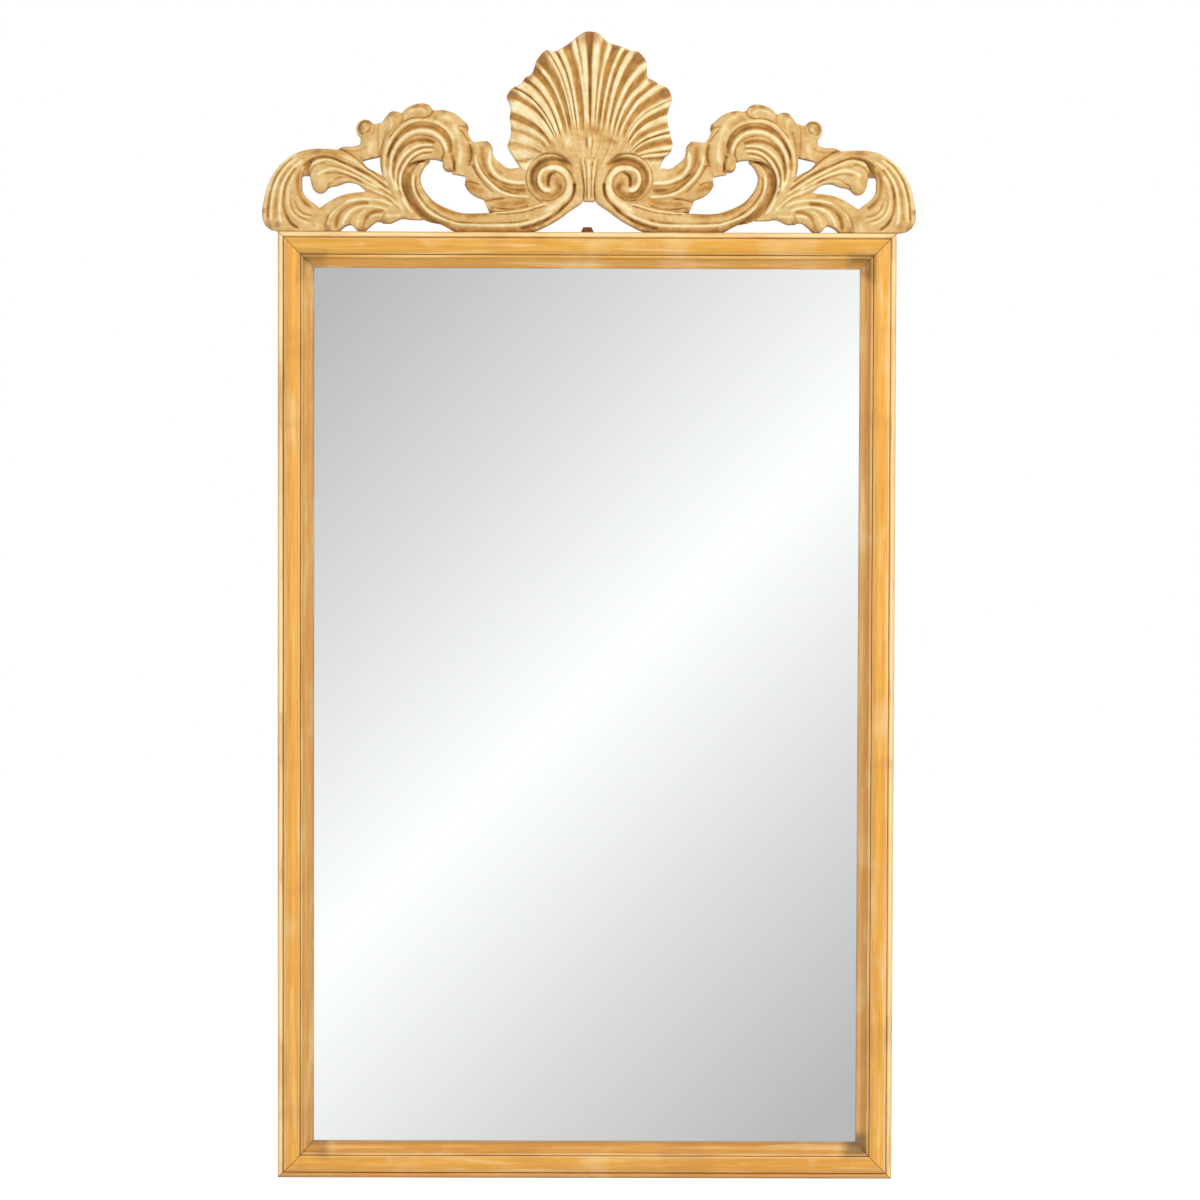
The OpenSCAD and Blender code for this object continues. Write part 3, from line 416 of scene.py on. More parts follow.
def lobe(bm, start, end, r_start, r_end, rise_start, rise_end):
    """A rounded swelling between two points, the hull of two flattened balls and their feet."""
    made = []
    for (x, z), r, rise in ((start, r_start, rise_start), (end, r_end, rise_end)):
        ball = bmesh.ops.create_uvsphere(bm, u_segments=LOBE_SIDES, v_segments=10, radius=r * MM)["verts"]
        centre = Vector((x * MM, BACK_Y - (rise - LOBE_FLATNESS * r) * MM, RAIL_TOP + z * MM))
        bmesh.ops.scale(bm, vec=(1, LOBE_FLATNESS, 1), verts=ball)
        bmesh.ops.translate(bm, vec=centre, verts=ball)
        foot = bmesh.ops.create_circle(bm, cap_ends=False, segments=LOBE_SIDES, radius=r * MM)["verts"]
        bmesh.ops.rotate(bm, cent=(0, 0, 0), matrix=Euler((math.pi / 2, 0, 0)).to_matrix(), verts=foot)
        bmesh.ops.translate(bm, vec=(centre.x, BACK_Y, centre.z), verts=foot)
        made += ball + foot
    for vert in made:
        vert.co.z = max(vert.co.z, RAIL_TOP)
    hull = bmesh.ops.convex_hull(bm, input=made)
    spare = [g for g in hull["geom_interior"] + hull["geom_unused"] if isinstance(g, bmesh.types.BMVert)]
    bmesh.ops.delete(bm, geom=list(set(spare)), context="VERTS")


print("leaf tools ready, grid step", GRID_STEP, "mm")

# %% [markdown]
# ## Carving the blank
# The blanks overlap, as the first roughing-out cuts do. A voxel remesh melts them into one closed
# skin, and a light smoothing takes off its steps. Then the detail is cut with a few kinds of stroke,
# each drawn as a smooth path with a width in millimetres: a rib stands proud and takes the cream
# lime, a hollow is a broad gouge cut that keeps brown glaze, a vein is a fine dark V-cut, and a stain
# or a glaze hardly cuts and only darkens. The strokes lift or sink the surface and are also stored on
# the vertices as the number "lime", so relief and colour always agree. Where the crest's pieces lap,
# their backs step in by a few tenths of a millimetre, because two faces in one plane would flicker.
# The whole crest ends up a touch narrower and further right than it is drawn, as on the real mirror.

# %% Strokes and the finished piece
VOXEL = 0.9 * MM
SCRAPER_PASSES = 2
# Each kind of stroke has a lift in millimetres and the lime that it adds.
STROKES = {"rib": (1.5, 0.95), "soft_rib": (1.0, 0.5), "vein": (-1.1, -1.15), "faint_vein": (-0.6, -0.65),
           "hollow": (-2.6, -0.95), "dark_hollow": (-3.2, -1.35), "brown_hollow": (-2.3, -0.78),
           "stain": (-0.6, -0.5), "glaze": (-0.3, -0.8)}
DEEPEST_CUT = 5
HIGHEST_RIB = 3
PATH_STEP = 0.8
HAND_STEP = 9
HAND_PRESSURE = (0.68, 1.08)
BARE_LIME = 0.12
LIME_LIMITS = (-1.2, 1.1)
PROUD_LIME_AND_LIGHT = 0.55
FLANK_LIME_SHADE = 0.42
BACK_STEPS = {"acanthus": 0.15, "shell": 0.30, "clasp": 0.45}
CREST_FIT = 0.995
CREST_SHIFT = 1.8


def stroke_pull(x, z, path, width, number):
    """How strongly a stroke acts on points: 1 on its path, fading to the sides and at the ends."""
    path = np.asarray(path, float)
    length = np.hypot(*np.diff(path, axis=0).T).sum()
    t = np.linspace(0, 1, max(6, int(length / PATH_STEP)))
    line = fair(path, t)
    pull = np.zeros(len(x))
    low, high = line.min(0) - 3 * width, line.max(0) + 3 * width
    near = np.flatnonzero((x > low[0]) & (x < high[0]) & (z > low[1]) & (z < high[1]))
    gap = (x[near, None] - line[:, 0]) ** 2 + (z[near, None] - line[:, 1]) ** 2
    best = gap.argmin(1)
    taper = np.minimum(1, np.minimum(t[best], 1 - t[best]) * length / (2.2 * width + 2) + 0.25)
    presses = max(3, int(length / HAND_STEP) + 2)
    hand = fair(np.random.default_rng(number).uniform(*HAND_PRESSURE, presses), t)
    pull[near] = np.exp(-gap[np.arange(len(near)), best] / width ** 2) * ease(taper) * hand[best]
    return pull


def neighbours_mean(values, pairs, times):
    """Values on the vertices, averaged with their neighbours a number of times."""
    a, b = pairs.T
    count = np.bincount(a, minlength=len(values)) + np.bincount(b, minlength=len(values))
    count = np.maximum(count, 1)
    for _ in range(times):
        total = np.bincount(a, values[b], len(values)) + np.bincount(b, values[a], len(values))
        values = 0.5 * values + 0.5 * total / count
    return values


def rows_of(items, field, width, kind=float):
    """One field of all of a mesh's items, a row for each."""
    out = np.empty(len(items) * width, kind)
    items.foreach_get(field, out)
    return out.reshape(-1, width)


def carve(mesh, side, strokes, tips, lime=BARE_LIME):
    """Cuts the strokes into the front of a piece and stores lime and rubbed on its vertices; the lime also
    holds painted highlight and painted shade.
    """
    co = rows_of(mesh.vertices, "co", 3)
    normal = rows_of(mesh.vertex_normals, "vector", 3)
    pairs = rows_of(mesh.edges, "vertices", 2, int)
    x, z = side * co[:, 0] / MM, (co[:, 2] - RAIL_TOP) / MM
    front = ease((-normal[:, 1] - 0.1) / 0.5)
    lift = np.zeros(len(co))
    for number, (kind, width, path) in enumerate(strokes):
        pull = stroke_pull(x, z, path, width, number)
        lift += STROKES[kind][0] * pull
        lime = lime + STROKES[kind][1] * pull
    # Flanks facing away from the front lose lime below: a painted shade that draws dark outlines round the
    # pieces.
    flank_shade = neighbours_mean(1 - front, pairs, 3)
    co[:, 1] -= np.clip(lift * front, -DEEPEST_CUT, HIGHEST_RIB) * MM
    end = CREST_HALF_WIDTH * MM
    co[:, 0] = np.clip(CREST_FIT * co[:, 0] + CREST_SHIFT * MM, -end, end)
    mesh.vertices.foreach_set("co", co.ravel())
    level = co[:, 1] / MM
    # What stands proud of its neighbours gets more lime, partly glaze and partly a painted highlight;
    # hollows get less, partly glaze and partly painted shade.
    proud = neighbours_mean(level, pairs, 12) - neighbours_mean(level, pairs, 2)
    lime = np.clip(lime, *LIME_LIMITS) + np.clip(PROUD_LIME_AND_LIGHT * proud, -0.45, 0.3) * front - FLANK_LIME_SHADE * flank_shade
    rubbed = np.zeros(len(co))
    for tip_x, tip_z, r in tips:
        rubbed = np.maximum(rubbed, ease((r - np.hypot(x - tip_x, z - tip_z)) / (0.8 * r)))
    for label, values in (("lime", neighbours_mean(lime, pairs, 1)), ("rubbed", rubbed)):
        mesh.attributes.new(label, "FLOAT", "POINT").data.foreach_set("value", values.astype(np.float32))
    mesh.shade_smooth()
    mesh.update()


def dress(mesh, finish):
    """Gives a mesh one finish."""
    mesh.materials.clear()
    mesh.materials.append(finish)


def as_piece(mesh, name, node):
    """A carved mesh that stands for a node; its back steps in so that no two laps share a plane."""
    step = next((depth for word, depth in BACK_STEPS.items() if name.startswith(word)), 0)
    co = rows_of(mesh.vertices, "co", 3)
    co[:, 1] = np.minimum(co[:, 1], BACK_Y - step * MM)
    mesh.vertices.foreach_set("co", co.ravel())
    mesh.update()
    piece = put_out(name, mesh)
    dress(mesh, carving_finish)
    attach(piece, "root")
    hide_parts(node)
    print(name, "faces:", len(mesh.polygons))


def as_mesh(bm, name):
    """Turns a finished bmesh into a mesh."""
    mesh = bpy.data.meshes.new(name)
    bm.to_mesh(mesh)
    bm.free()
    return mesh


def melted(bm, name, voxel=VOXEL):
    """Melts overlapping blanks into one closed skin."""
    bmesh.ops.recalc_face_normals(bm, faces=bm.faces)
    rough_mesh = as_mesh(bm, name + "_rough")
    rough = put_out(name + "_rough", rough_mesh)
    melt = rough.modifiers.new("melt", "REMESH")
    melt.mode = "VOXEL"
    melt.voxel_size = voxel
    scrape = rough.modifiers.new("scrape", "SMOOTH")
    scrape.factor = 0.5
    scrape.iterations = SCRAPER_PASSES
    mesh = bpy.data.meshes.new_from_object(rough.evaluated_get(bpy.context.evaluated_depsgraph_get()))
    mesh.name = name
    bpy.data.objects.remove(rough)
    bpy.data.meshes.remove(rough_mesh)
    return mesh


def mirrored(mesh, name):
    """A copy of a mesh turned over to the left of the centre line."""
    bm = bmesh.new()
    bm.from_mesh(mesh)
    bmesh.ops.scale(bm, vec=(-1, 1, 1), verts=bm.verts)
    bmesh.ops.reverse_faces(bm, faces=bm.faces)
    return as_mesh(bm, name)


def carve_pair(bm, name, node, strokes, tips):
    """Finishes a piece for both sides of the crest: the left one is the right one turned over."""
    right = melted(bm, name + "_right")
    left = mirrored(right, name + "_left")
    for mesh, side, label in ((right, 1, "_right"), (left, -1, "_left")):
        carve(mesh, side, strokes, tips)
        as_piece(mesh, name + label, node + label)


# %% [markdown]
# ## The C-scrolls and their volutes
# Two C-scrolls carry the crest. Each band starts beside the clasp, runs under its volute, along the
# rail and up to the acanthus head. One cream rib leads the eye: it climbs out of the volute's cup,
# winds once around it and runs on along the whole band. The volute is a disc with a hollow cup, so a
# grid is wrapped into a disc and lowered by its distance from the middle.

# %% Carve the scrolls
VOLUTE_RISE = 22.5
CUP_R = 11.5
CUP_DEPTH = 3.5
EDGE_WIDTH = 3
EDGE_DROP = 2.5
BOW = [
    (10, 76, 21, 77), (6.5, 62, 20, 66), (5, 48, 20, 54), (7, 34.5, 23, 46), (13, 28.5, 28, 41),
    (20, 24, 34, 38), (32, 15, 45, 35), (46, 7, 57, 30), (62, 0.5, 72, 25), (85, 0, 90, 22.5),
    (115, 0, 115, 20.5), (143, 0, 138, 20.5), (157, 6, 155, 25.5), (172, 15, 168, 32), (185, 30, 177, 41),
    (193.5, 46, 183, 51), (195.5, 59, 184.5, 60), (192, 68, 182, 67), (186, 74, 178, 73),
    (178, 79, 174, 76.5)
]
VALLEY = [
    (147, 1.5, 150, 14), (160, 8, 158, 17), (174, 11, 166, 24), (187, 17, 176, 32), (198, 28, 184, 40),
    (206, 44, 190, 50), (209, 60, 190, 58), (206, 74, 188, 66), (194, 84, 182, 70), (178, 86, 174, 76)
]
SCROLL_STROKES = [
    ("stain", 2.2, [(21.5, 49), (20.5, 59), (23.5, 70), (31, 77.5), (41, 79.8), (51.5, 77.4), (60, 70),
        (63.5, 60), (62, 49.5)]),
    ("rib", 2.3, [(41.2, 45.4), (46, 44.8), (50.6, 47), (54, 52), (55.3, 57), (54.3, 62), (51, 66),
        (46, 68.6), (40, 69.6)]),
    ("rib", 3.6, [(47, 67.6), (40.5, 69.2), (34.2, 69), (28.8, 66.2), (24.8, 62), (22.4, 57),
        (21.4, 51.5), (22, 45.6), (24.4, 40), (28.4, 35), (34, 30.4), (41, 26), (49, 21.6)]),
    ("rib", 1.5, [(41, 20.6), (50, 15.6), (64, 10.6), (76, 7.8), (95, 6.9), (120, 6.9), (140, 8),
        (152, 11), (162, 14.6), (172, 19), (181, 26), (187.6, 34.5), (191.6, 43), (193, 52), (192, 61)]),
    ("vein", 0.8, [(66, 13.5), (80, 10.4), (100, 9.5), (125, 9.5), (141, 10.2), (149, 12), (158.7, 15.6),
        (167, 20.6), (175.6, 27), (182.4, 34.6), (187.4, 43), (189.4, 52), (188.6, 60)]),
    ("glaze", 2.6, [(62, 2.4), (85, 2.2), (115, 2.2), (145, 2.6)]),
    ("vein", 1.1, [(42.3, 42.4), (47, 41.8), (51.7, 43.6), (55.2, 47.4), (57.2, 52), (57.5, 57.4),
        (56.4, 63), (52.8, 68.4), (47, 71.8), (40.5, 73.4), (31.5, 72.9), (25.1, 69), (19.8, 62.6),
        (16.9, 55), (16.2, 48.4)]),
    # A real cut, but its dark colour is a painted shadow between the cream band and the brown outer roll.
    ("dark_hollow", 1.6, [(16.4, 53), (16.2, 47), (17.6, 40), (20.9, 33.8), (27.8, 27.3), (35, 20.4),
        (44, 14.6), (53, 9.8), (64, 6), (76, 4)]),
    ("hollow", 3.4, [(20, 73), (27, 76.8), (34, 78.2), (42, 77.8), (50, 75.4), (57, 70.4), (61.2, 63.4),
        (61.6, 56), (60, 49), (56.4, 43), (51.4, 39.2), (45.6, 37.9), (39.6, 38.8), (34.6, 42),
        (31.6, 47), (31.6, 53)]),
    ("vein", 0.7, [(52, 35), (46.9, 34), (40.5, 34.3), (35, 36.8), (29.8, 40.6), (26.8, 45.6), (25.8, 52),
        (27.2, 58), (30.6, 62.2), (35.2, 64.6), (40, 66)]),
    ("soft_rib", 1.4, [(60, 36), (65, 43), (67.4, 50), (68, 58), (66.6, 67), (62, 75.5), (54, 81.6),
        (44, 84), (34, 83)]),
    ("dark_hollow", 1.9, [(36, 64), (40.6, 63.4), (43.8, 60.4), (44.9, 55.6), (44.6, 51), (42.8, 48.4)]),
    ("glaze", 4.2, [(36, 60), (35, 52), (38, 47)]),
    ("faint_vein", 2.2, [(50, 60), (49.8, 55), (47.4, 51)]),
    ("brown_hollow", 3.8, [(196, 65), (199.6, 60), (200.6, 54), (199.8, 45), (195.6, 35), (189, 26),
        (179.4, 16.6), (168.6, 11), (158, 7.4), (150, 5)]),
    ("vein", 1.1, [(176, 76), (184.5, 76), (192, 74), (198, 70), (202.4, 64.4), (204.2, 57), (203.6, 48),
        (200, 37.6), (194.4, 28)]),
    ("rib", 1.0, [(106, 21), (91, 21.8), (80.5, 22.8), (67.4, 25), (56.5, 28.4), (46, 30.6)]),
    ("vein", 0.7, [(102, 19), (90, 19.4), (80.5, 20.3), (67.4, 22.4), (56.5, 25.8), (47, 28.8)]),
    ("glaze", 2.9, [(106, 18.8), (128, 18.2), (142, 19), (151, 20.8), (159.6, 24.4), (167.6, 30),
        (174, 36.6)]),
    ("glaze", 1.2, [(172, 35), (177.6, 42), (181.6, 50), (183.4, 58), (182, 66)]),
]
SCROLL_TIPS = [(53, 9, 7), (63, 3.5, 7), (148, 3, 6)]


def volute(bm):
    """The rolled end of a scroll: a disc with a hollow cup in the middle."""
    made, faces, v, u = flat_grid(bm, 150, 26)
    angle, r = v * 2 * math.pi, u * VOLUTE_R
    cup = CUP_DEPTH * ease((CUP_R - r) / 11)
    y = VOLUTE_RISE - cup - EDGE_DROP * ease((r - VOLUTE_R + EDGE_WIDTH) / EDGE_WIDTH)
    set_down(made, VOLUTE[0] + r * np.cos(angle), y, VOLUTE[1] + r * np.sin(angle))
    bmesh.ops.remove_doubles(bm, verts=made, dist=0.02 * MM)
    to_the_back(bm, [f for f in faces if f.is_valid])


bm = bmesh.new()
leaf(bm, BOW, [23, 23, 22, 21, 20, 19.5, 19, 18], yields=False)
leaf(bm, VALLEY, [9, 12, 13, 14, 14, 13, 12], drop=0.5)
volute(bm)
carve_pair(bm, "scroll", "crest_scroll", SCROLL_STROKES, SCROLL_TIPS)

# %% [markdown]
# ## The clasp
# A small sheaf of pleats is pinched between the two volutes and fans out under the shell. It is one
# leaf across the centre line, with veins that spread towards the top. Its pleats are fine, so it is
# melted with a smaller voxel.

# %% Carve the clasp
FINE_VOXEL = 0.6 * MM
CLASP = [
    (-6.5, 33.5, 6.5, 33.5), (-5, 48, 5, 48), (-7.5, 62, 7.5, 62), (-12, 74, 12, 74), (-15, 81, 15, 81),
    (-9, 87, 9, 87)
]
CLASP_STROKES = [
    ("vein", 0.6, [(-5.4, 78), (-4, 70), (-3, 58), (-2.4, 36)]),
    ("vein", 0.6, [(3.6, 76), (2.6, 66), (2, 36)]),
    ("rib", 1.0, [(-1, 78), (-0.6, 62), (-0.4, 36)]),
    ("soft_rib", 1.2, [(-7.6, 80), (-5.4, 66), (-4.6, 40)]),
    ("soft_rib", 1.2, [(7, 79), (5.2, 66), (4.4, 40)]),
    ("vein", 0.7, [(-5.6, 78.5), (-2.6, 81.6), (0.2, 80.4), (3, 81.8), (6, 78.2)]),
    ("faint_vein", 0.8, [(-12, 82), (-8.6, 70), (-6.6, 56), (-5.6, 40)]),
    ("faint_vein", 0.8, [(11.4, 82), (8.2, 70), (6.4, 56), (5.4, 40)]),
]
bm = bmesh.new()
leaf(bm, CLASP, [24, 26, 26, 25, 23], yields=False)
mesh = melted(bm, "clasp", FINE_VOXEL)
carve(mesh, 1, CLASP_STROKES, [])
as_piece(mesh, "clasp", "crest_clasp")

# %% [markdown]
# ## The acanthus heads
# The head of each side is a tuft of long ribs that rises from the scroll, folds over like a wave and
# ends in a small tongue above the large opening. A leafy cap with rounded lobes lies on its back. In
# front of it a broad fall of leaf comes down, and a hook turns up beside the shell, with two small
# leaves under it.

# %% Carve the acanthus heads
HEAD = [
    (199, 13.5, 181, 13), (209, 28, 194, 27), (218, 46, 203, 45), (226, 62, 204.5, 57),
    (228, 80, 202.5, 66), (224, 98, 197.5, 72.5), (214, 112, 190, 76), (200, 120, 182, 77.5),
    (184, 124, 174, 78.5), (168, 121.5, 168, 78.5), (155, 113, 162, 77), (148, 102, 158.5, 75.5),
    (145, 90, 156, 73)
]
CAP = [
    (227, 117, 225, 92), (222, 124.5, 220, 102), (216, 130, 213, 108), (209, 130, 206, 112),
    (204.5, 128.5, 200, 115), (199, 134, 195, 117), (190, 138, 188, 119), (181, 139, 182, 120),
    (174, 136.5, 175, 120), (170, 131.5, 170, 119), (160, 132, 163, 116), (150, 129.5, 156, 111),
    (142, 125, 151, 105), (136, 119, 147, 99), (131.5, 113, 143, 92)
]
FALL = [
    (158, 122, 134, 113), (156, 106, 131, 104), (154, 92, 127, 97), (152.5, 80, 124, 86),
    (151, 70, 125, 74), (150, 63, 135, 60.5)
]
HOOK = [
    (50, 42, 50, 74), (75, 44, 76, 70), (90, 43, 88, 69), (105, 47, 96, 74), (116, 56, 103, 80),
    (123, 68, 105.5, 87), (127, 82, 106, 93), (128, 97, 111, 98.5)
]
UNDER_LEAF = [
    (50, 33, 50, 46), (80, 36.5, 80, 46), (98, 35.5, 100, 49), (112, 35, 113, 56), (124, 38.5, 122, 68),
    (132, 44.5, 129, 73), (136, 51, 134, 66)
]
LAST_LEAF = [(47, 28, 48, 40), (75, 22.5, 78, 38), (94, 21.5, 98, 39), (109, 21, 116, 37)]
ACANTHUS_STROKES = [
    ("soft_rib", 2.2, [(222, 58), (223.4, 70), (223, 80), (221, 89), (217.3, 97.5), (213, 105.2),
        (207.7, 111.8), (199, 117.6), (188, 120.3), (180.5, 120.6), (169.6, 119.2), (159.8, 114.8),
        (151, 106.8), (146.8, 98)]),
    ("vein", 0.8, [(218, 101), (212, 109), (204, 117.2), (196, 121.8), (187, 123.4), (179, 122.8)]),
    ("vein", 0.9, [(219.8, 80), (216.5, 91), (210.6, 101), (202.6, 110), (192, 116.2), (180, 117.8),
        (169, 115.8), (159, 110), (152.4, 101.5), (149.8, 91)]),
    ("hollow", 2.5, [(219.5, 66), (218.6, 82), (214.3, 92.2), (208.3, 100.8), (201, 107.8),
        (191.4, 112.6), (180.5, 113.9), (169.6, 112.3), (161, 107.4), (154.6, 100), (152, 92.7),
        (150.7, 84)]),
    ("rib", 2.0, [(209, 44), (214, 54), (216.4, 64), (217, 74), (215.2, 84), (210.4, 93.6), (203.6, 101),
        (194.7, 106.4), (186, 108.8), (176.1, 108.5), (168.5, 105.7), (162, 100.6), (157.4, 94),
        (155, 86.5)]),
    ("vein", 0.8, [(213.4, 74), (209.6, 86), (203, 95), (193.6, 101.9), (186, 104.2), (178.3, 104),
        (170.7, 101.5), (164.4, 97.6), (160.3, 92.2), (158.6, 86), (159, 80.5)]),
    ("hollow", 2.1, [(212, 54), (213.8, 63), (213, 71.5), (210.2, 80.7), (205.2, 88.8), (198.8, 94.6),
        (191.2, 97.6), (182.7, 98.8), (173.9, 97.8), (167.5, 95.5)]),
    ("rib", 1.1, [(206, 44), (210.2, 52), (211.3, 59), (209.7, 68.5), (205.7, 77.2), (200.2, 84),
        (193.4, 89.2), (186, 92.4), (178.3, 93.5), (170, 93)]),
    ("vein", 1.0, [(202.6, 36), (207.6, 47), (208.8, 57.8), (207.2, 66.3), (203.7, 73.8), (198.7, 80.7),
        (192.1, 86.2), (184.8, 89.6), (176.1, 91), (169, 90.8)]),
    ("rib", 1.3, [(193, 20), (200, 30), (204.2, 41), (206.2, 51.2), (205.2, 60), (202.5, 68),
        (198.5, 74.9), (193.1, 81.2), (186.6, 85.6), (178.3, 87.9), (170, 88.2)]),
    ("vein", 0.8, [(202, 60), (199.3, 68.5), (194.9, 75.6), (189.3, 80.7), (181.5, 84.3), (171, 85.4)]),
    ("soft_rib", 1.4, [(203.4, 52), (202, 60), (198.5, 68.5), (193.5, 74.8), (187.5, 79), (180, 81.6),
        (172, 82.6)]),
    # A shallow cut whose dark line is painted shade beside the head's soft ribs.
    ("faint_vein", 1.0, [(226, 62), (226.6, 80), (224.6, 96), (221.5, 110)]),
    ("faint_vein", 0.8, [(204.6, 128.5), (203.6, 123), (206, 117)]),
    ("vein", 0.9, [(170.5, 132), (172.2, 127.6), (176, 124.4), (181, 123)]),
    ("faint_vein", 0.8, [(196, 132.6), (188, 135.6), (180, 134.8), (175.6, 131)]),
    ("soft_rib", 1.6, [(199, 127), (191, 131.8), (183, 132), (177, 128)]),
    ("soft_rib", 2.0, [(218, 124), (216, 116), (217, 107)]),
    ("stain", 2.4, [(164, 126), (168, 122), (172, 119.5)]),
    ("soft_rib", 3.0, [(162, 125), (151, 121), (142, 113)]),
    ("vein", 0.8, [(144.4, 115), (139, 114), (132, 113)]),
    ("vein", 0.8, [(141.5, 111), (137, 106), (133.6, 101.5), (130.5, 97.5)]),
    ("hollow", 1.5, [(150.5, 84), (148.6, 77), (147.2, 70), (147, 64)]),
    ("soft_rib", 2.6, [(150, 116), (144, 106), (141.6, 95), (140.8, 84), (142, 73)]),
    ("glaze", 3.0, [(132, 96), (130, 88), (130, 80), (133, 72)]),
    ("vein", 0.8, [(147.6, 83), (146.8, 75), (148, 67.4)]),
    ("vein", 1.0, [(130.4, 96), (128.6, 88), (128.6, 80), (130.6, 73)]),
    ("vein", 0.8, [(159.8, 82), (161, 76), (158.8, 69), (153, 64.6)]),
    ("rib", 1.8, [(107.6, 88), (109, 79), (108.6, 72.6), (105.2, 65.4), (99.2, 59.8), (91, 55.8),
        (80.5, 53.2), (68, 53)]),
    # A shallow cut whose dark line is a painted shadow beside the hook's cream rib.
    ("faint_vein", 1.6, [(104.6, 79), (104, 71), (99.6, 66), (94, 62)]),
    ("vein", 0.8, [(110.6, 63.5), (103.6, 57.8), (94, 53), (82, 50.4), (68, 50.3)]),
    ("brown_hollow", 3.1, [(117, 93), (116.6, 83.5), (115.6, 74.8), (112, 65.8), (105.4, 57.2),
        (97.6, 51.2), (88.1, 46.8), (78.3, 44.8), (68, 44.8)]),
    ("rib", 1.4, [(124.6, 84), (124.1, 74.8), (120.1, 66.1), (114.7, 58.4), (107.1, 50.8), (99.2, 44.9),
        (89.2, 40.6), (78.3, 38.6), (66, 38.2)]),
    ("vein", 0.7, [(121, 77), (117, 67.5), (111.4, 59.8), (103.5, 52.2), (95.5, 46.2), (87, 42.8),
        (78, 41.4)]),
    ("vein", 0.8, [(126.6, 71), (123.6, 64.5), (118.4, 56.8), (112, 49.4), (104.5, 43.2)]),
    ("vein", 0.8, [(134, 71), (130, 72.4), (126.4, 71.4)]),
    ("vein", 0.9, [(135.5, 54), (130, 54.4), (125.2, 53.2), (119.5, 50.8)]),
    ("glaze", 3.6, [(133, 50), (125, 47.4), (115, 42.6)]),
    ("vein", 1.1, [(118, 34), (111, 33.4), (103, 35.4), (92, 36.6)]),
    ("glaze", 3.8, [(105, 30), (92, 30), (80, 31), (66, 33)]),
    ("vein", 0.8, [(107, 27), (98, 25.4), (88, 24.8), (78, 25.6), (66, 28.6)]),
]
ACANTHUS_TIPS = [
    (216, 129, 8), (189, 137.5, 6), (178, 138, 6), (133, 114, 6), (110, 97, 8), (134, 51, 7),
    (107, 24, 6), (152, 66, 5), (158, 131, 5)
]
bm = bmesh.new()
lobe(bm, (153.5, 77.5), (153.5, 72), 5.8, 6.6, 22.5, 21.5)
lobe(bm, (215, 125), (214, 118), 5, 5, 20, 19)
lobe(bm, (186, 131), (182, 129), 7, 7.5, 21, 21)
lobe(bm, (137, 115), (147, 110), 4.5, 6, 19.5, 19.5)
lobe(bm, (112, 92), (119, 88), 5, 6, 21.5, 20)
lobe(bm, (130, 51), (120, 47), 4.5, 6, 18.5, 18.5)
leaf(bm, HEAD, [19, 21, 23, 24, 24, 22])
leaf(bm, CAP, [18, 19, 20, 20, 19, 18])
leaf(bm, FALL, [21, 21, 20, 19])
leaf(bm, HOOK, [21, 21, 22, 21])
leaf(bm, UNDER_LEAF, [19, 19.5, 18.5, 17])
leaf(bm, LAST_LEAF, [18, 18, 17])
carve_pair(bm, "acanthus", "crest_acanthus", ACANTHUS_STROKES, ACANTHUS_TIPS)

# %% [markdown]
# ## The end sprays
# From the foot of each head a spray runs out to the corner of the frame. Its long outer leaf sweeps
# over and curls down past the end of the rail; an inner leaf rolls into a small ball, with a thin web
# between the two; a low leaf with toothed lobes lies along the rail; and a round bud stands on its
# stem in the gap above, beside a leaflet.

# %% Carve the sprays
SWEEP = [
    (208, 46, 204, 30), (222, 58, 217, 42), (233, 64.5, 230, 53), (242, 69.5, 240, 57),
    (251, 79.5, 251, 66), (261, 85, 261, 70), (276, 88.5, 276, 77.5), (292, 89.5, 290, 80.5),
    (307, 88.5, 301, 78), (321, 84, 309, 70), (334, 75, 313.5, 60), (344, 63, 314, 52),
    (351, 49, 313, 43), (355, 33, 306, 34.5), (357, 18, 297, 28), (352, 5, 290, 20), (338, 0, 288, 10),
    (314, 0, 288, 0)
]
INNER_LEAF = [
    (204, 34, 202, 24), (216, 46, 213, 30), (230, 56, 228, 38), (244, 65, 243, 44), (258, 70, 253, 51.5),
    (272, 77, 264, 53.5), (286, 80, 275, 50), (299, 77.5, 284, 48), (306, 69, 288, 44.5),
    (304.5, 58, 290.5, 42.5), (303, 50, 294, 41.5)
]
LOW_LEAF = [
    (203, 30, 199, 14), (216, 38, 206, 14), (232, 44.5, 218, 9), (247, 43, 231, 11), (261, 41.5, 239, 6),
    (272, 38.5, 246, 0), (281, 34, 253, 1), (288, 30, 260, 7.5), (295, 24, 268, 5), (300, 14, 275, 0),
    (304, 3, 292, 0)
]
WEB = [(298, 86, 288, 74), (309, 80, 297, 70), (316, 70, 302, 64), (316.5, 60.5, 303, 60.5)]
BUD_STEM = [
    (248, 77, 228, 81.5), (250.5, 86, 224, 84), (250, 95, 221, 98), (249, 104, 221, 110),
    (246, 113, 223, 119)
]
LEAFLET = [(277, 87.5, 264, 76), (269, 92, 254, 76), (258, 92.5, 245, 80), (248, 95, 236, 82)]
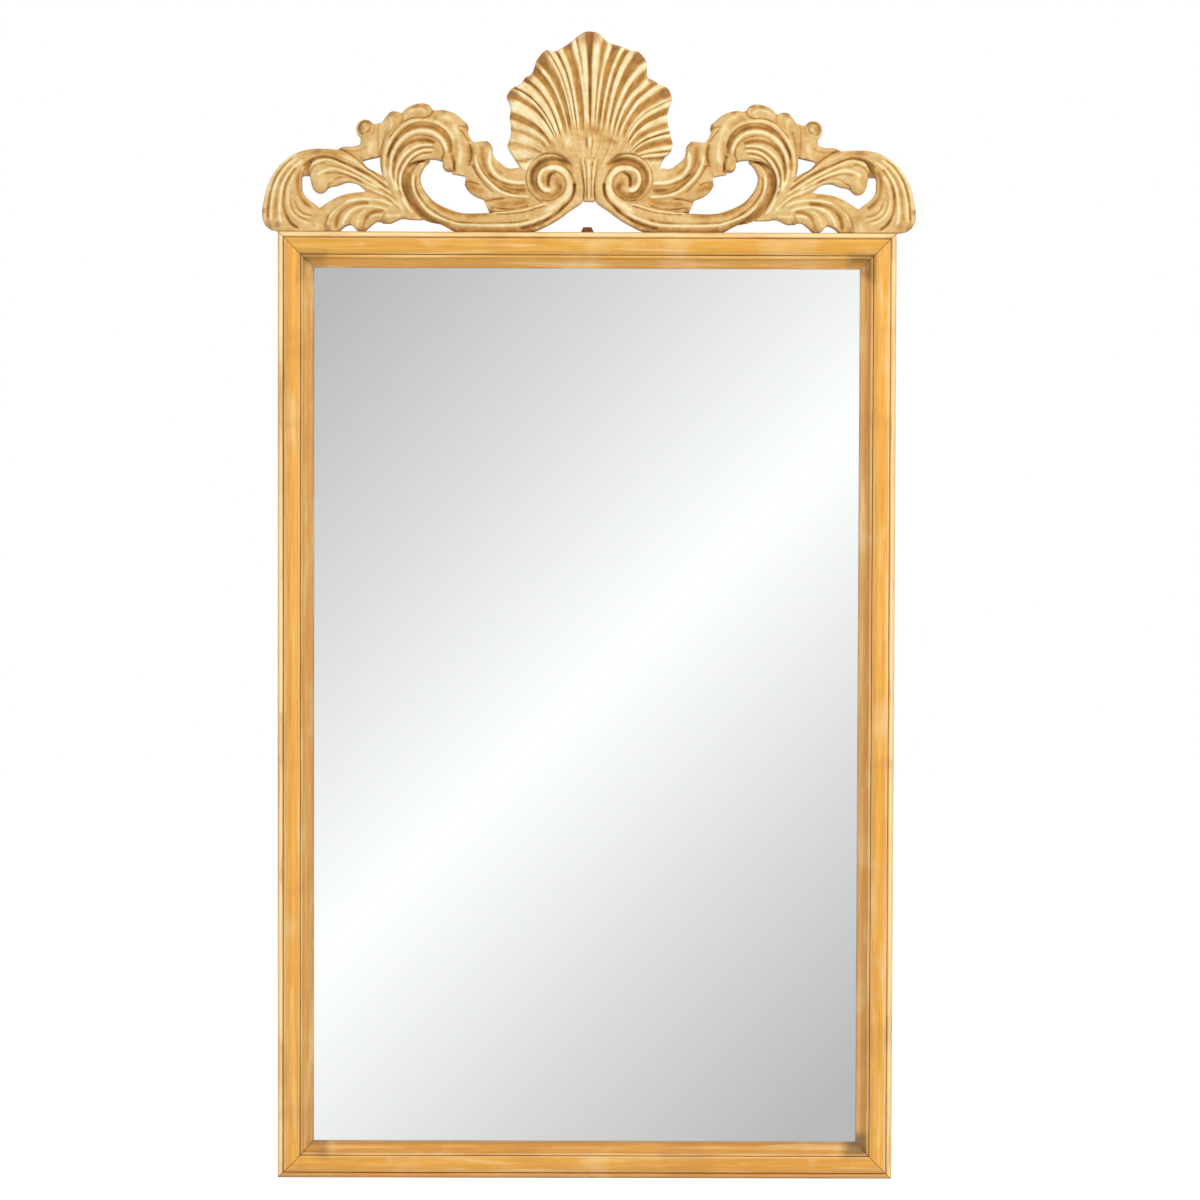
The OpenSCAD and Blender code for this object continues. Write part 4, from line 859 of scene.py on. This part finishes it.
SPRAY_STROKES = [
    ("soft_rib", 2.0, [(353.5, 8), (354, 26), (352.4, 38), (349.2, 50), (344.7, 60), (338, 69), (329, 78),
        (318, 84)]),
    ("vein", 0.9, [(350.6, 12), (350, 25.8), (348.8, 35.5), (346.6, 45.2), (343.4, 54.9), (338.8, 63.3),
        (332.4, 71.8), (324, 78.6)]),
    ("rib", 1.3, [(347.4, 10), (346.7, 23.4), (345.5, 35.5), (343.5, 45.2), (340, 54.9), (334.6, 64),
        (327.6, 72), (318, 79)]),
    ("faint_vein", 0.9, [(343, 12), (342, 22), (341.3, 33), (339.8, 43), (336.6, 53.5), (331, 63),
        (324.5, 70.6)]),
    ("rib", 1.4, [(336, 8), (337.4, 18), (337.2, 28), (336.6, 37), (335, 46), (331.6, 55), (326.6, 63),
        (320.6, 70), (312, 76.6)]),
    ("vein", 1.3, [(316, 2.6), (324.5, 8), (330, 17), (332.6, 26), (333.1, 35.5), (332, 45.2),
        (329, 54.5), (324.8, 62), (319.6, 69)]),
    ("glaze", 1.6, [(318, 4), (325.6, 9.6), (329.4, 18)]),
    ("soft_rib", 1.7, [(306, 8), (317, 13), (325, 21), (328.4, 32), (328, 43), (325.4, 53), (320.6, 62)]),
    ("faint_vein", 0.7, [(303, 11.3), (313, 14), (320.6, 19), (324.4, 26), (325.4, 36)]),
    ("vein", 0.7, [(302, 16.7), (311.5, 19.7), (317.6, 25), (320.6, 33)]),
    ("soft_rib", 1.0, [(303, 14), (313.5, 17), (320, 23)]),
    ("brown_hollow", 2.4, [(313.6, 66.5), (317.2, 58), (317.6, 48), (315.2, 38.5), (310, 31), (302, 25)]),
    ("vein", 1.4, [(312, 69.4), (305, 76.4), (296.5, 80), (287.4, 80.8), (277.7, 78.6), (268, 74.2),
        (258.3, 70.4), (248.6, 65.6), (239, 60.6), (229, 54), (219, 46)]),
    ("stain", 2.6, [(306, 85), (292, 86), (280, 84.4), (269, 80)]),
    ("vein", 0.9, [(271.7, 89.5), (262, 84.4), (252.3, 77.9), (243.8, 70), (232.9, 62.4), (223, 54.6)]),
    ("soft_rib", 1.3, [(276, 83), (262, 79), (252, 72.4), (242, 65.8), (230, 58.2), (219, 50)]),
    ("vein", 0.8, [(305.4, 60.6), (302, 68.6), (296, 72.6), (288, 74.4)]),
    ("rib", 1.3, [(303, 72.8), (294, 77), (284, 77.8), (272, 73.6), (258, 66.6), (244, 59), (230, 50.4),
        (216, 41)]),
    ("faint_vein", 0.8, [(289, 72), (277, 70.6), (264, 66), (250, 59.4), (236, 51.4)]),
    ("rib", 1.3, [(297, 61), (289, 65.6), (279, 67.6), (268, 65), (256, 60.4), (243.8, 54.4),
        (230, 46.6)]),
    ("vein", 0.8, [(288, 62), (279, 63.6), (270, 62.4), (260, 59.4), (248, 53.8)]),
    ("faint_vein", 0.8, [(281, 52), (275.3, 57), (267, 59), (257, 57.4), (246, 51.6)]),
    ("soft_rib", 1.2, [(272, 55), (262, 55.4), (251, 51.6), (238, 46), (224, 38.4)]),
    ("vein", 0.8, [(285.4, 43.5), (284.2, 50.6), (280.6, 53.4)]),
    ("soft_rib", 3.0, [(296, 48), (293, 53), (292, 58)]),
    ("stain", 1.8, [(280, 34.5), (268, 38), (256, 39.6), (246, 39.8)]),
    ("rib", 1.4, [(283.4, 14), (280.4, 20), (274.6, 26.4), (267, 31), (258, 33.6), (248.6, 34.8),
        (237.7, 35), (226, 33.2), (214, 28.6)]),
    ("vein", 0.9, [(288, 4), (286.4, 13), (281.6, 20.4), (274, 27.6), (265, 32.6)]),
    ("brown_hollow", 2.2, [(276, 2), (275, 12.7), (270.4, 21.2), (262, 27.2), (251.1, 30.4),
        (239, 30.8)]),
    ("rib", 1.5, [(269.4, 5), (266.6, 13.5), (261.6, 20.6), (253.8, 25.6), (243.8, 27.8), (231.7, 26.8),
        (219, 23)]),
    ("faint_vein", 0.8, [(262, 8), (259.6, 14), (254.4, 20), (247, 23.4)]),
    ("brown_hollow", 2.0, [(247.5, 1.5), (245, 10.6), (241.4, 17.5), (234.1, 21.4), (223, 22.6)]),
    ("soft_rib", 1.4, [(254.4, 4), (252.3, 12.7), (249.8, 18.5), (243.6, 23)]),
    ("vein", 0.8, [(228.6, 10), (225, 15.6), (223, 20)]),
    ("soft_rib", 1.6, [(239, 16), (230, 18), (216, 16.6), (205, 17.6)]),
    ("faint_vein", 0.8, [(242, 43.6), (229, 39.6), (218, 34), (208, 25.4)]),
    ("soft_rib", 1.3, [(234, 44.6), (222, 39.6), (211, 31.4), (203, 23)]),
    ("faint_vein", 0.8, [(227, 46), (216, 38.6), (207.6, 29.6)]),
    ("soft_rib", 2.4, [(298, 12), (296, 6), (300, 2)]),
    ("hollow", 1.2, [(240.5, 118.3), (245.6, 119), (250, 115.8), (251.2, 111), (249.6, 106.8),
        (245.4, 104.6)]),
    ("soft_rib", 1.0, [(241, 121), (247, 121), (252, 117.6), (254.2, 111.6), (252.4, 105.4)]),
    ("vein", 0.8, [(238.4, 114.6), (240.4, 109), (245, 106.4)]),
    ("soft_rib", 3.0, [(243, 114), (245, 111), (246.6, 109)]),
    ("stain", 2.6, [(235, 118), (234.6, 110), (236.4, 103)]),
    # A shallow cut whose dark line is painted shade between the bud's stem and the head.
    ("faint_vein", 1.1, [(229.6, 118), (230.6, 105), (230.2, 92), (229.4, 80)]),
    ("soft_rib", 3.2, [(239, 98), (238.6, 90), (243, 86)]),
    ("faint_vein", 0.9, [(268, 88.6), (259, 87), (250, 88.4), (244, 92)]),
]
SPRAY_TIPS = [
    (249, 112, 7), (240, 118, 6), (285, 3, 6), (247.5, 2, 6), (224, 10, 6), (350, 5, 8), (340, 7, 6),
    (354.6, 22, 5), (272, 90, 5), (237, 79, 5), (296, 87, 7)
]
bm = bmesh.new()
lobe(bm, (244.5, 111.5), (244.5, 110.5), 10, 10, 20.5, 20.5)
lobe(bm, (294, 50), (292.5, 56), 8.5, 9, 20.5, 20)
lobe(bm, (283, 5), (284, 13), 5, 6.5, 19.5, 19.5)
lobe(bm, (248, 4.5), (245, 13), 4.5, 6, 19, 19)
lobe(bm, (224, 13), (221, 18), 4, 5, 18, 19)
lobe(bm, (346, 7), (338, 12), 5.5, 7, 20, 20)
leaf(bm, SWEEP, [19, 20, 21, 22, 23, 22])
leaf(bm, INNER_LEAF, [19, 19, 19, 18])
leaf(bm, LOW_LEAF, [20, 19, 19, 20])
leaf(bm, WEB, [13, 13, 12, 11], drop=0.5)
leaf(bm, BUD_STEM, [18, 18, 19])
leaf(bm, LEAFLET, [15, 16, 17])
carve_pair(bm, "spray", "crest_spray", SPRAY_STROKES, SPRAY_TIPS)

# %% [markdown]
# ## The shell
# The shell fans out of a smooth boss above the clasp. A ray of the fan bends as a bow does: it leaves
# the boss upright and leans out to its place on the rim. Across the fan stand broad cream ribs with
# brown flutes between them. A place across is counted along the rim's points, and each rib has its
# place at the rim, its place at the boss, its half width and the depth of the flute that follows it.
# The grid is fine enough to need no voxels, so the shell stays sharp.

# %% Carve the shell
SHELL_CELLS = (440, 110)
FOOT_HALF_WIDTH = 34
FOOT_Z = 70
FOOT_SHARE = 0.25
BOSS_HALF_WIDTH = 45
BOSS_HEIGHT = 21
BOSS_Z = 74
BOSS_SWELL = 5
SHELL_RISE = 20
RIB_HEIGHT = 2.2
RIM_FALL = 2.4
RAY_BEND = (0.3, 0.8)
STREAK_SEED = 5
STREAK_ROWS = 9
STREAK_COLUMNS = 170
BACK_LIME = -0.4
SHELL_RIM = [
    (-70, 62), (-84, 83), (-89, 92), (-88, 98), (-86, 104), (-85.5, 110), (-86, 117), (-87, 124),
    (-86, 131), (-87.5, 139), (-90, 147), (-84, 155.5), (-75, 160.5), (-70, 167), (-64, 170),
    (-60.5, 177), (-57.5, 186), (-48, 196.5), (-38, 195.5), (-31, 199), (-21.5, 205), (-11, 213.5),
    (-1, 217.6), (11, 214.2), (20, 205.5), (30, 202.5), (38, 200), (45, 196.5), (54, 195), (61.5, 186),
    (62.5, 177), (63.5, 168), (72, 163.5), (76, 160), (86, 155.5), (90, 144), (87, 135), (85, 127),
    (85.5, 118), (87.5, 110), (89, 103), (91, 95), (88, 86.5), (82, 81), (73, 63)
]
SHELL_RIBS = [
    (0.35, 0.9, 0.3, 0.6), (1.3, 1.7, 0.5, 0.1), (3.9, 4.0, 0.8, 0.2), (6.05, 6.8, 0.5, 1.0),
    (8.9, 9.4, 0.95, 0.5), (10.85, 10.85, 0.2, 0.9), (11.8, 11.8, 0.5, 0.6), (13.5, 13.4, 0.5, 1.0),
    (15.5, 15.5, 0.2, 0.8), (16.8, 17.0, 0.15, 0.2), (17.5, 17.7, 0.35, 0.5), (18.7, 18.8, 0.3, 1.0),
    (20.3, 20.9, 0.2, 0.2), (21.2, 21.4, 0.42, 1.0), (22.9, 22.95, 0.42, 0.3), (24.3, 24.0, 0.2, 1.0),
    (25.9, 25.5, 0.25, 0.7), (27.35, 27.2, 0.4, 1.0), (29.45, 28.8, 0.4, 0.9), (31.5, 30.4, 0.3, 0.6),
    (33.3, 32.2, 0.35, 0.8), (34.9, 34.2, 0.1, 0.3), (35.5, 34.8, 0.35, 1.0), (37.4, 36.6, 0.35, 0.5),
    (38.85, 38.5, 0.2, 0.7), (39.7, 39.4, 0.2, 0.6), (41.35, 41.2, 0.25, 0.3), (42.4, 42.3, 0.4, 0.7),
    (43.6, 43.5, 0.3, 0)
]
SHELL_TIPS = [
    (-86, 149, 12), (-52, 190, 12), (-24, 203, 8), (0, 214, 17), (28, 203, 7), (55, 191, 12),
    (85, 152, 11), (-67, 168, 8), (-58, 176, 8), (67, 165, 5)
]
SHELL_STROKES = [
    ("rib", 1.7, [(0.8, 102), (0.6, 97), (0.4, 90)]),
    ("vein", 0.9, [(-3.4, 103), (-3, 96), (-2.6, 90)]),
    ("faint_vein", 1.0, [(4, 102), (3.6, 96), (2.8, 90)]),
    # Painted light on the boss: the stains make its right side browner, a painted shade, and the broad soft
    # rib makes its left side paler, a painted highlight, as if lit from the left.
    ("stain", 5.0, [(-9, 112), (2, 111), (14, 109), (28, 106)]),
    ("stain", 3.0, [(10, 100), (22, 99), (34, 94)]),
    ("soft_rib", 6.0, [(-30, 96), (-20, 98), (-10, 97)]),
    ("stain", 3.4, [(0, 204), (0, 196), (0, 188)]),
    ("stain", 1.6, [(0, 190), (0, 160), (0, 128)]),
]


def flutes(along, k):
    """1 on a rib, down to minus the flute's depth between two ribs; places slide from boss to rim."""
    slide = np.clip((k - 0.2) / 0.55, 0, 1)
    out = np.full(len(along), 0.2)
    centres = [low + (top - low) * slide for top, low, _, _ in SHELL_RIBS]
    for i in range(len(SHELL_RIBS) - 1):
        half, depth, next_half = SHELL_RIBS[i][2], SHELL_RIBS[i][3], SHELL_RIBS[i + 1][2]
        start, stop = centres[i] + half, centres[i + 1] - next_half
        on_rib = (along >= centres[i] - half) & (along < start)
        out = np.where(on_rib, 0.75 + 0.25 * np.cos((along - centres[i]) / half * math.pi / 2), out)
        q = (along - start) / np.maximum(stop - start, 1e-3)
        cut = 0.75 - (0.75 + depth) * np.sin(math.pi * np.clip(q, 0, 1)) ** 0.8
        out = np.where((q >= 0) & (q < 1), cut, out)
    return out


def shell_grid(bm):
    """The fluted fan, from its foot over the boss to the rim; returns each vertex's lime."""
    made, faces, t, w = flat_grid(bm, *SHELL_CELLS)
    rim = fair(SHELL_RIM, t)
    turn = math.pi * t
    start = np.stack([-BOSS_HALF_WIDTH * np.cos(turn), BOSS_Z + BOSS_HEIGHT * np.sin(turn)], axis=1)
    foot = np.stack([FOOT_HALF_WIDTH * (2 * t - 1), np.full(len(t), FOOT_Z)], axis=1)
    bend = start + (rim - start) * np.array(RAY_BEND)
    k = np.clip((w - FOOT_SHARE) / (1 - FOOT_SHARE), 0, 1)
    j = k[:, None]
    fan = start * (1 - j) ** 2 + 2 * j * (1 - j) * bend + j * j * rim
    below = foot + (start - foot) * (w / FOOT_SHARE)[:, None]
    x, z = np.where((w < FOOT_SHARE)[:, None], below, fan).T
    boss = BOSS_SWELL * np.cos(np.minimum(math.pi, np.radians(220) * np.abs(w - FOOT_SHARE)))
    middle = 1 - np.abs(2 * t - 1)
    begins = ease((k - 0.04 - 0.08 * (1 - middle)) / 0.13)
    flute = flutes(t * (len(SHELL_RIM) - 1), k)
    dome = SHELL_RISE + boss + 4 * k ** 3 - RIM_FALL * ease((k - 0.95) / 0.05)
    y = dome + (RIB_HEIGHT * np.maximum(flute, -0.85) - 0.6) * begins * (0.5 + 0.5 * k)
    set_down(made, x, beside_volute(x, z, y), z)
    to_the_back(bm, faces)
    hand = np.random.default_rng(STREAK_SEED).uniform(-0.34, 0.30, (STREAK_ROWS, STREAK_COLUMNS))
    place = t * (STREAK_COLUMNS - 1)
    streak = sum(np.interp(place, np.arange(STREAK_COLUMNS), row)
                 * np.maximum(0, 1 - np.abs(k * (STREAK_ROWS - 1) - i)) for i, row in enumerate(hand))
    calm = 1 - 0.35 * ease((0.16 - t) / 0.05)
    edge = 0.30 * ease((k - 0.86) / 0.14) * (flute < 0.1)
    brown = sum(ease(1.6 * (1 - np.hypot(x - tip_x, z - tip_z) / r)) for tip_x, tip_z, r in SHELL_TIPS)
    ribs = (np.maximum(flute, -0.55) * 0.85 - 0.16) * begins * calm
    return 0.16 + ribs + streak - edge - 0.55 * np.minimum(brown, 1)


bm = bmesh.new()
front_lime = shell_grid(bm)
bmesh.ops.recalc_face_normals(bm, faces=bm.faces)
mesh = as_mesh(bm, "shell")
lime = np.full(len(mesh.vertices), BACK_LIME)
lime[:len(front_lime)] = front_lime
carve(mesh, 1, SHELL_STROKES, SHELL_TIPS, lime)
as_piece(mesh, "shell", "crest_shell")

# %% [markdown]
# ## The mirror plate
# Mirror glass is float glass silvered behind. What the eye gets is a clean, very slightly green
# reflection, so the front face is a smooth metal with the silver's colour. The plate's edges are
# green glass, and its back carries grey protective paint.

# %% Make the mirror plate's finish
PLATE_FRONT_Y = -15.8 * MM
PLATE_BACK_Y = (-12.2 * MM, -12.1 * MM)
silvered, tree, shader, place = start_finish("mirror_silver", 0.0)
y = add(tree, "SeparateXYZ", None, place).node.outputs["Y"]
front = add(tree, "Math", "LESS_THAN", y, PLATE_FRONT_Y)
paint = add(tree, "Mix", "RGBA", stretched(tree, place, 300), "#7d8283", "#8b9090")
behind = glazed(tree, "#5f7d70", y, *PLATE_BACK_Y, 1.0, paint)
wire(tree, shader, Base_Color=add(tree, "Mix", "RGBA", front, behind, "#f4f7f6"), Metallic=front,
     Roughness=add(tree, "Math", "SUBTRACT", 0.5, add(tree, "Math", "MULTIPLY", front, 0.49)))
print("mirror finish:", silvered.name)

# %% [markdown]
# ## Boards and hardware on the back
# The back board is birch plywood and the soft sheet is grey board. The fittings are stamped steel:
# zinc plate has a fine frosty mottle, and the hanger plate is lacquered reddish brown. The setting
# blocks and bumpers are rubber. Real scratches and stipple are too fine to show, so they are drawn a
# little under a millimetre apart.

# %% Make the other finishes
def plain_wood(name, light, dark, scale, roughness=0.6):
    """Unfinished wood with its grain drawn out by a scale."""
    material, tree, shader, place = start_finish(name, roughness, IOR=1.48)
    grain = stretched(tree, place, scale, Detail=5.0, Distortion=0.4)
    colour = glazed(tree, light, grain, 0.3, 0.7, 1.0, dark)
    colour = glazed(tree, colour, stretched(tree, place, 8, Detail=2.0), 0.45, 0.7, 0.3, dark)
    wire(tree, shader, Base_Color=colour, Normal=add(tree, "Bump", Distance=0.1 * MM, Height=grain))
    return material


def plated_steel(name, light, dark, roughness, metallic=1.0):
    """Stamped steel with a mottled plating and fine scratches."""
    material, tree, shader, place = start_finish(name, roughness, Metallic=metallic)
    mottle = stretched(tree, place, 350, Detail=3.0)
    scratches = stretched(tree, place, (60, 1500, 1500), Detail=2.0)
    dulled = add(tree, "MapRange", "SMOOTHSTEP", mottle, 0.3, 0.7, roughness - 0.08, roughness + 0.1)
    wire(tree, shader, Base_Color=glazed(tree, light, mottle, 0.35, 0.65, 1.0, dark), Roughness=dulled,
         Normal=add(tree, "Bump", Distance=0.02 * MM, Height=scratches))
    return material


def moulded_rubber(name, colour, paler):
    """Matt rubber with a fine stipple."""
    material, tree, shader, place = start_finish(name, 0.85)
    stipple = stretched(tree, place, 1200, Detail=2.0)
    wire(tree, shader, Base_Color=add(tree, "Mix", "RGBA", stipple, colour, paler),
         Normal=add(tree, "Bump", Distance=0.05 * MM, Height=stipple))
    return material


plywood = plain_wood("birch_plywood", "#c79f68", "#a67c49", (220, 220, 9))
beech = plain_wood("beech_dowel", "#c9a06c", "#a97d4c", (500, 500, 25))
key_pine = plain_wood("mitre_key_pine", "#c9924f", "#9a6630", (400, 60, 60))
grey_board = plain_wood("grey_board", "#b3a68e", "#9d9079", 260, 0.9)
zinc = plated_steel("zinc_plated_steel", "#b9b6ae", "#8f8c86", 0.38)
bronzed = plated_steel("bronzed_steel", "#925a40", "#75452f", 0.45, 0.6)
block_rubber = moulded_rubber("setting_block_rubber", "#332f2b", "#4a4540")
bumper_rubber = moulded_rubber("bumper_rubber", "#2a2724", "#3d3833")
print("back finishes ready")

# %% Give every remaining node its finish
FINISHES = {
    "stile_": pine_upright, "slip_left": pine_upright, "slip_right": pine_upright,
    "rail_top": pine_top, "slip_top": pine_top, "rail_bottom": pine_lowest, "slip_bottom": pine_lowest,
    "mitre_keys": key_pine, "mirror_plate": silvered, "soft_sheet": grey_board,
    "back_board": plywood, "setting_blocks": block_rubber, "bumper_": bumper_rubber,
    "crest_dowels": beech, "hanger_plate": bronzed,
}
dressed = {name: part for name, part in nodes.items() if not part.hide_render}
for name, part in dressed.items():
    dress(part.data, next((finish for start, finish in FINISHES.items() if name.startswith(start)), zinc))
print("finished nodes:", len(dressed))

# %% [markdown]
# ## The studio
# The mirror hangs above a plain pale floor. A mirror shows what stands before it, so a large card
# with one diagonal gradient hangs behind the camera; only reflections see it. Far from the card's
# middle the gradient fades to pale grey, so that the mirror never shows the card's edge. The light is
# one broad soft lamp from the upper right, a weaker one from the left and one behind, over an even
# grey world that the camera and reflections see as white.

# %% Build the floor, the card, the lamps and the world
FLOOR_Z = -1.30
FLOOR_REACH = 9
FLOOR_GLOW = 1.45
FLOOR_SEEN = 0.6
CARD_Y = -6.0
CARD_GLOW = 1.1
CARD_MIDDLE_Z = -0.87
CARD_FADE = (1.3, 3.4)
PLATE_Y = -0.016
MIRROR_TO_CARD = 1 + (PLATE_Y - CARD_Y) / (PLATE_Y - CAMERA_PLACE[1])
BRIGHT_LINE = 0.4836
GREY_AT = 0.722
WORLD_LIGHT = 0.46


def stage_sheet(name, corners, material):
    """A flat piece of the studio."""
    bm = bmesh.new()
    bm.faces.new([bm.verts.new(corner) for corner in corners])
    sheet = put_out(name, as_mesh(bm, name))
    dress(sheet.data, material)
    return sheet


floor_paint, tree, shader, place = start_finish("floor_paint", 0.8)
shader.inputs["Base Color"].default_value = linear("#f2f1ef")
glow = add(tree, "Emission", None, "#ffffff", FLOOR_GLOW)
seen = add(tree, "Math", "MULTIPLY", add(tree, "LightPath").node.outputs["Is Camera Ray"], FLOOR_SEEN)
mixed = add(tree, "MixShader", None, seen, shader.outputs[0], glow)
wire(tree, tree.nodes["Material Output"], Surface=mixed)
corners = [(x * FLOOR_REACH, y * FLOOR_REACH, FLOOR_Z) for x, y in ((-1, -1), (1, -1), (1, 1), (-1, 1))]
floor = stage_sheet("floor", corners, floor_paint)
floor.visible_glossy = False

card_paint, tree, shader, place = start_finish("card_paint", 0.9)
x, y, z = add(tree, "SeparateXYZ", None, place).node.outputs
offset = (CAMERA_PLACE[0] - CAMERA_PLACE[2]) * (1 - MIRROR_TO_CARD)
diagonal = apart(tree, add(tree, "Math", "SUBTRACT", x, z), offset + MIRROR_TO_CARD * BRIGHT_LINE)
distance = add(tree, "Math", "DIVIDE", diagonal, MIRROR_TO_CARD * GREY_AT)
shades = add(tree, "ValToRGB", [(0, "#ffffff"), (0.25, "#eeeeee"), (0.5, "#dcdcdc"), (0.75, "#cbcbcb"),
                                (1.0, "#b9b9b9")], distance)
off_centre = add(tree, "Math", "MAXIMUM", add(tree, "Math", "ABSOLUTE", x), apart(tree, z, CARD_MIDDLE_Z))
shades = glazed(tree, shades, off_centre, *CARD_FADE, 1.0, "#f4f4f4")
glow = add(tree, "Emission", None, shades, CARD_GLOW)
wire(tree, tree.nodes["Material Output"], Surface=glow)
corners = [(x, CARD_Y, z) for x, z in ((-4, -5), (4, -5), (4, 3.5), (-4, 3.5))]
card = stage_sheet("reflection_card", corners, card_paint)
for ray in ("camera", "diffuse", "transmission", "volume_scatter", "shadow"):
    setattr(card, "visible_" + ray, False)


def lamp(name, place, aim, size, power):
    """A square soft lamp that looks at a point."""
    data = bpy.data.lights.new(name, "AREA")
    data.size = size
    data.energy = power
    lit = put_out(name, data)
    lit.location = place
    lit.rotation_euler = (Vector(aim) - Vector(place)).to_track_quat("-Z", "Y").to_euler()
    lit.visible_glossy = False


lamp("key_lamp", (1.7, -2.6, 1.5), (0, 0, -0.2), 1.3, 70)
lamp("fill_lamp", (-2.4, -2.8, 0.2), (0, 0, -0.5), 2.0, 22)
lamp("back_lamp", (-1.5, 3.0, 1.0), (0, 0, -0.4), 2.0, 60)

world = bpy.data.worlds.new("studio")
bpy.context.scene.world = world
world.use_nodes = True
tree = world.node_tree
rays = add(tree, "LightPath").node.outputs
white = rays["Is Camera Ray"]
for ray in ("Is Glossy Ray", "Is Transmission Ray"):
    white = add(tree, "Math", "MAXIMUM", white, rays[ray])
light = add(tree, "Math", "ADD", WORLD_LIGHT, add(tree, "Math", "MULTIPLY", white, 1 - WORLD_LIGHT))
background = tree.nodes["Background"]
background.inputs["Color"].default_value = (1, 1, 1, 1)
wire(tree, background, Strength=light)
bpy.context.scene.view_settings.view_transform = "Standard"
print("studio ready, reflections scaled by", round(MIRROR_TO_CARD, 3))
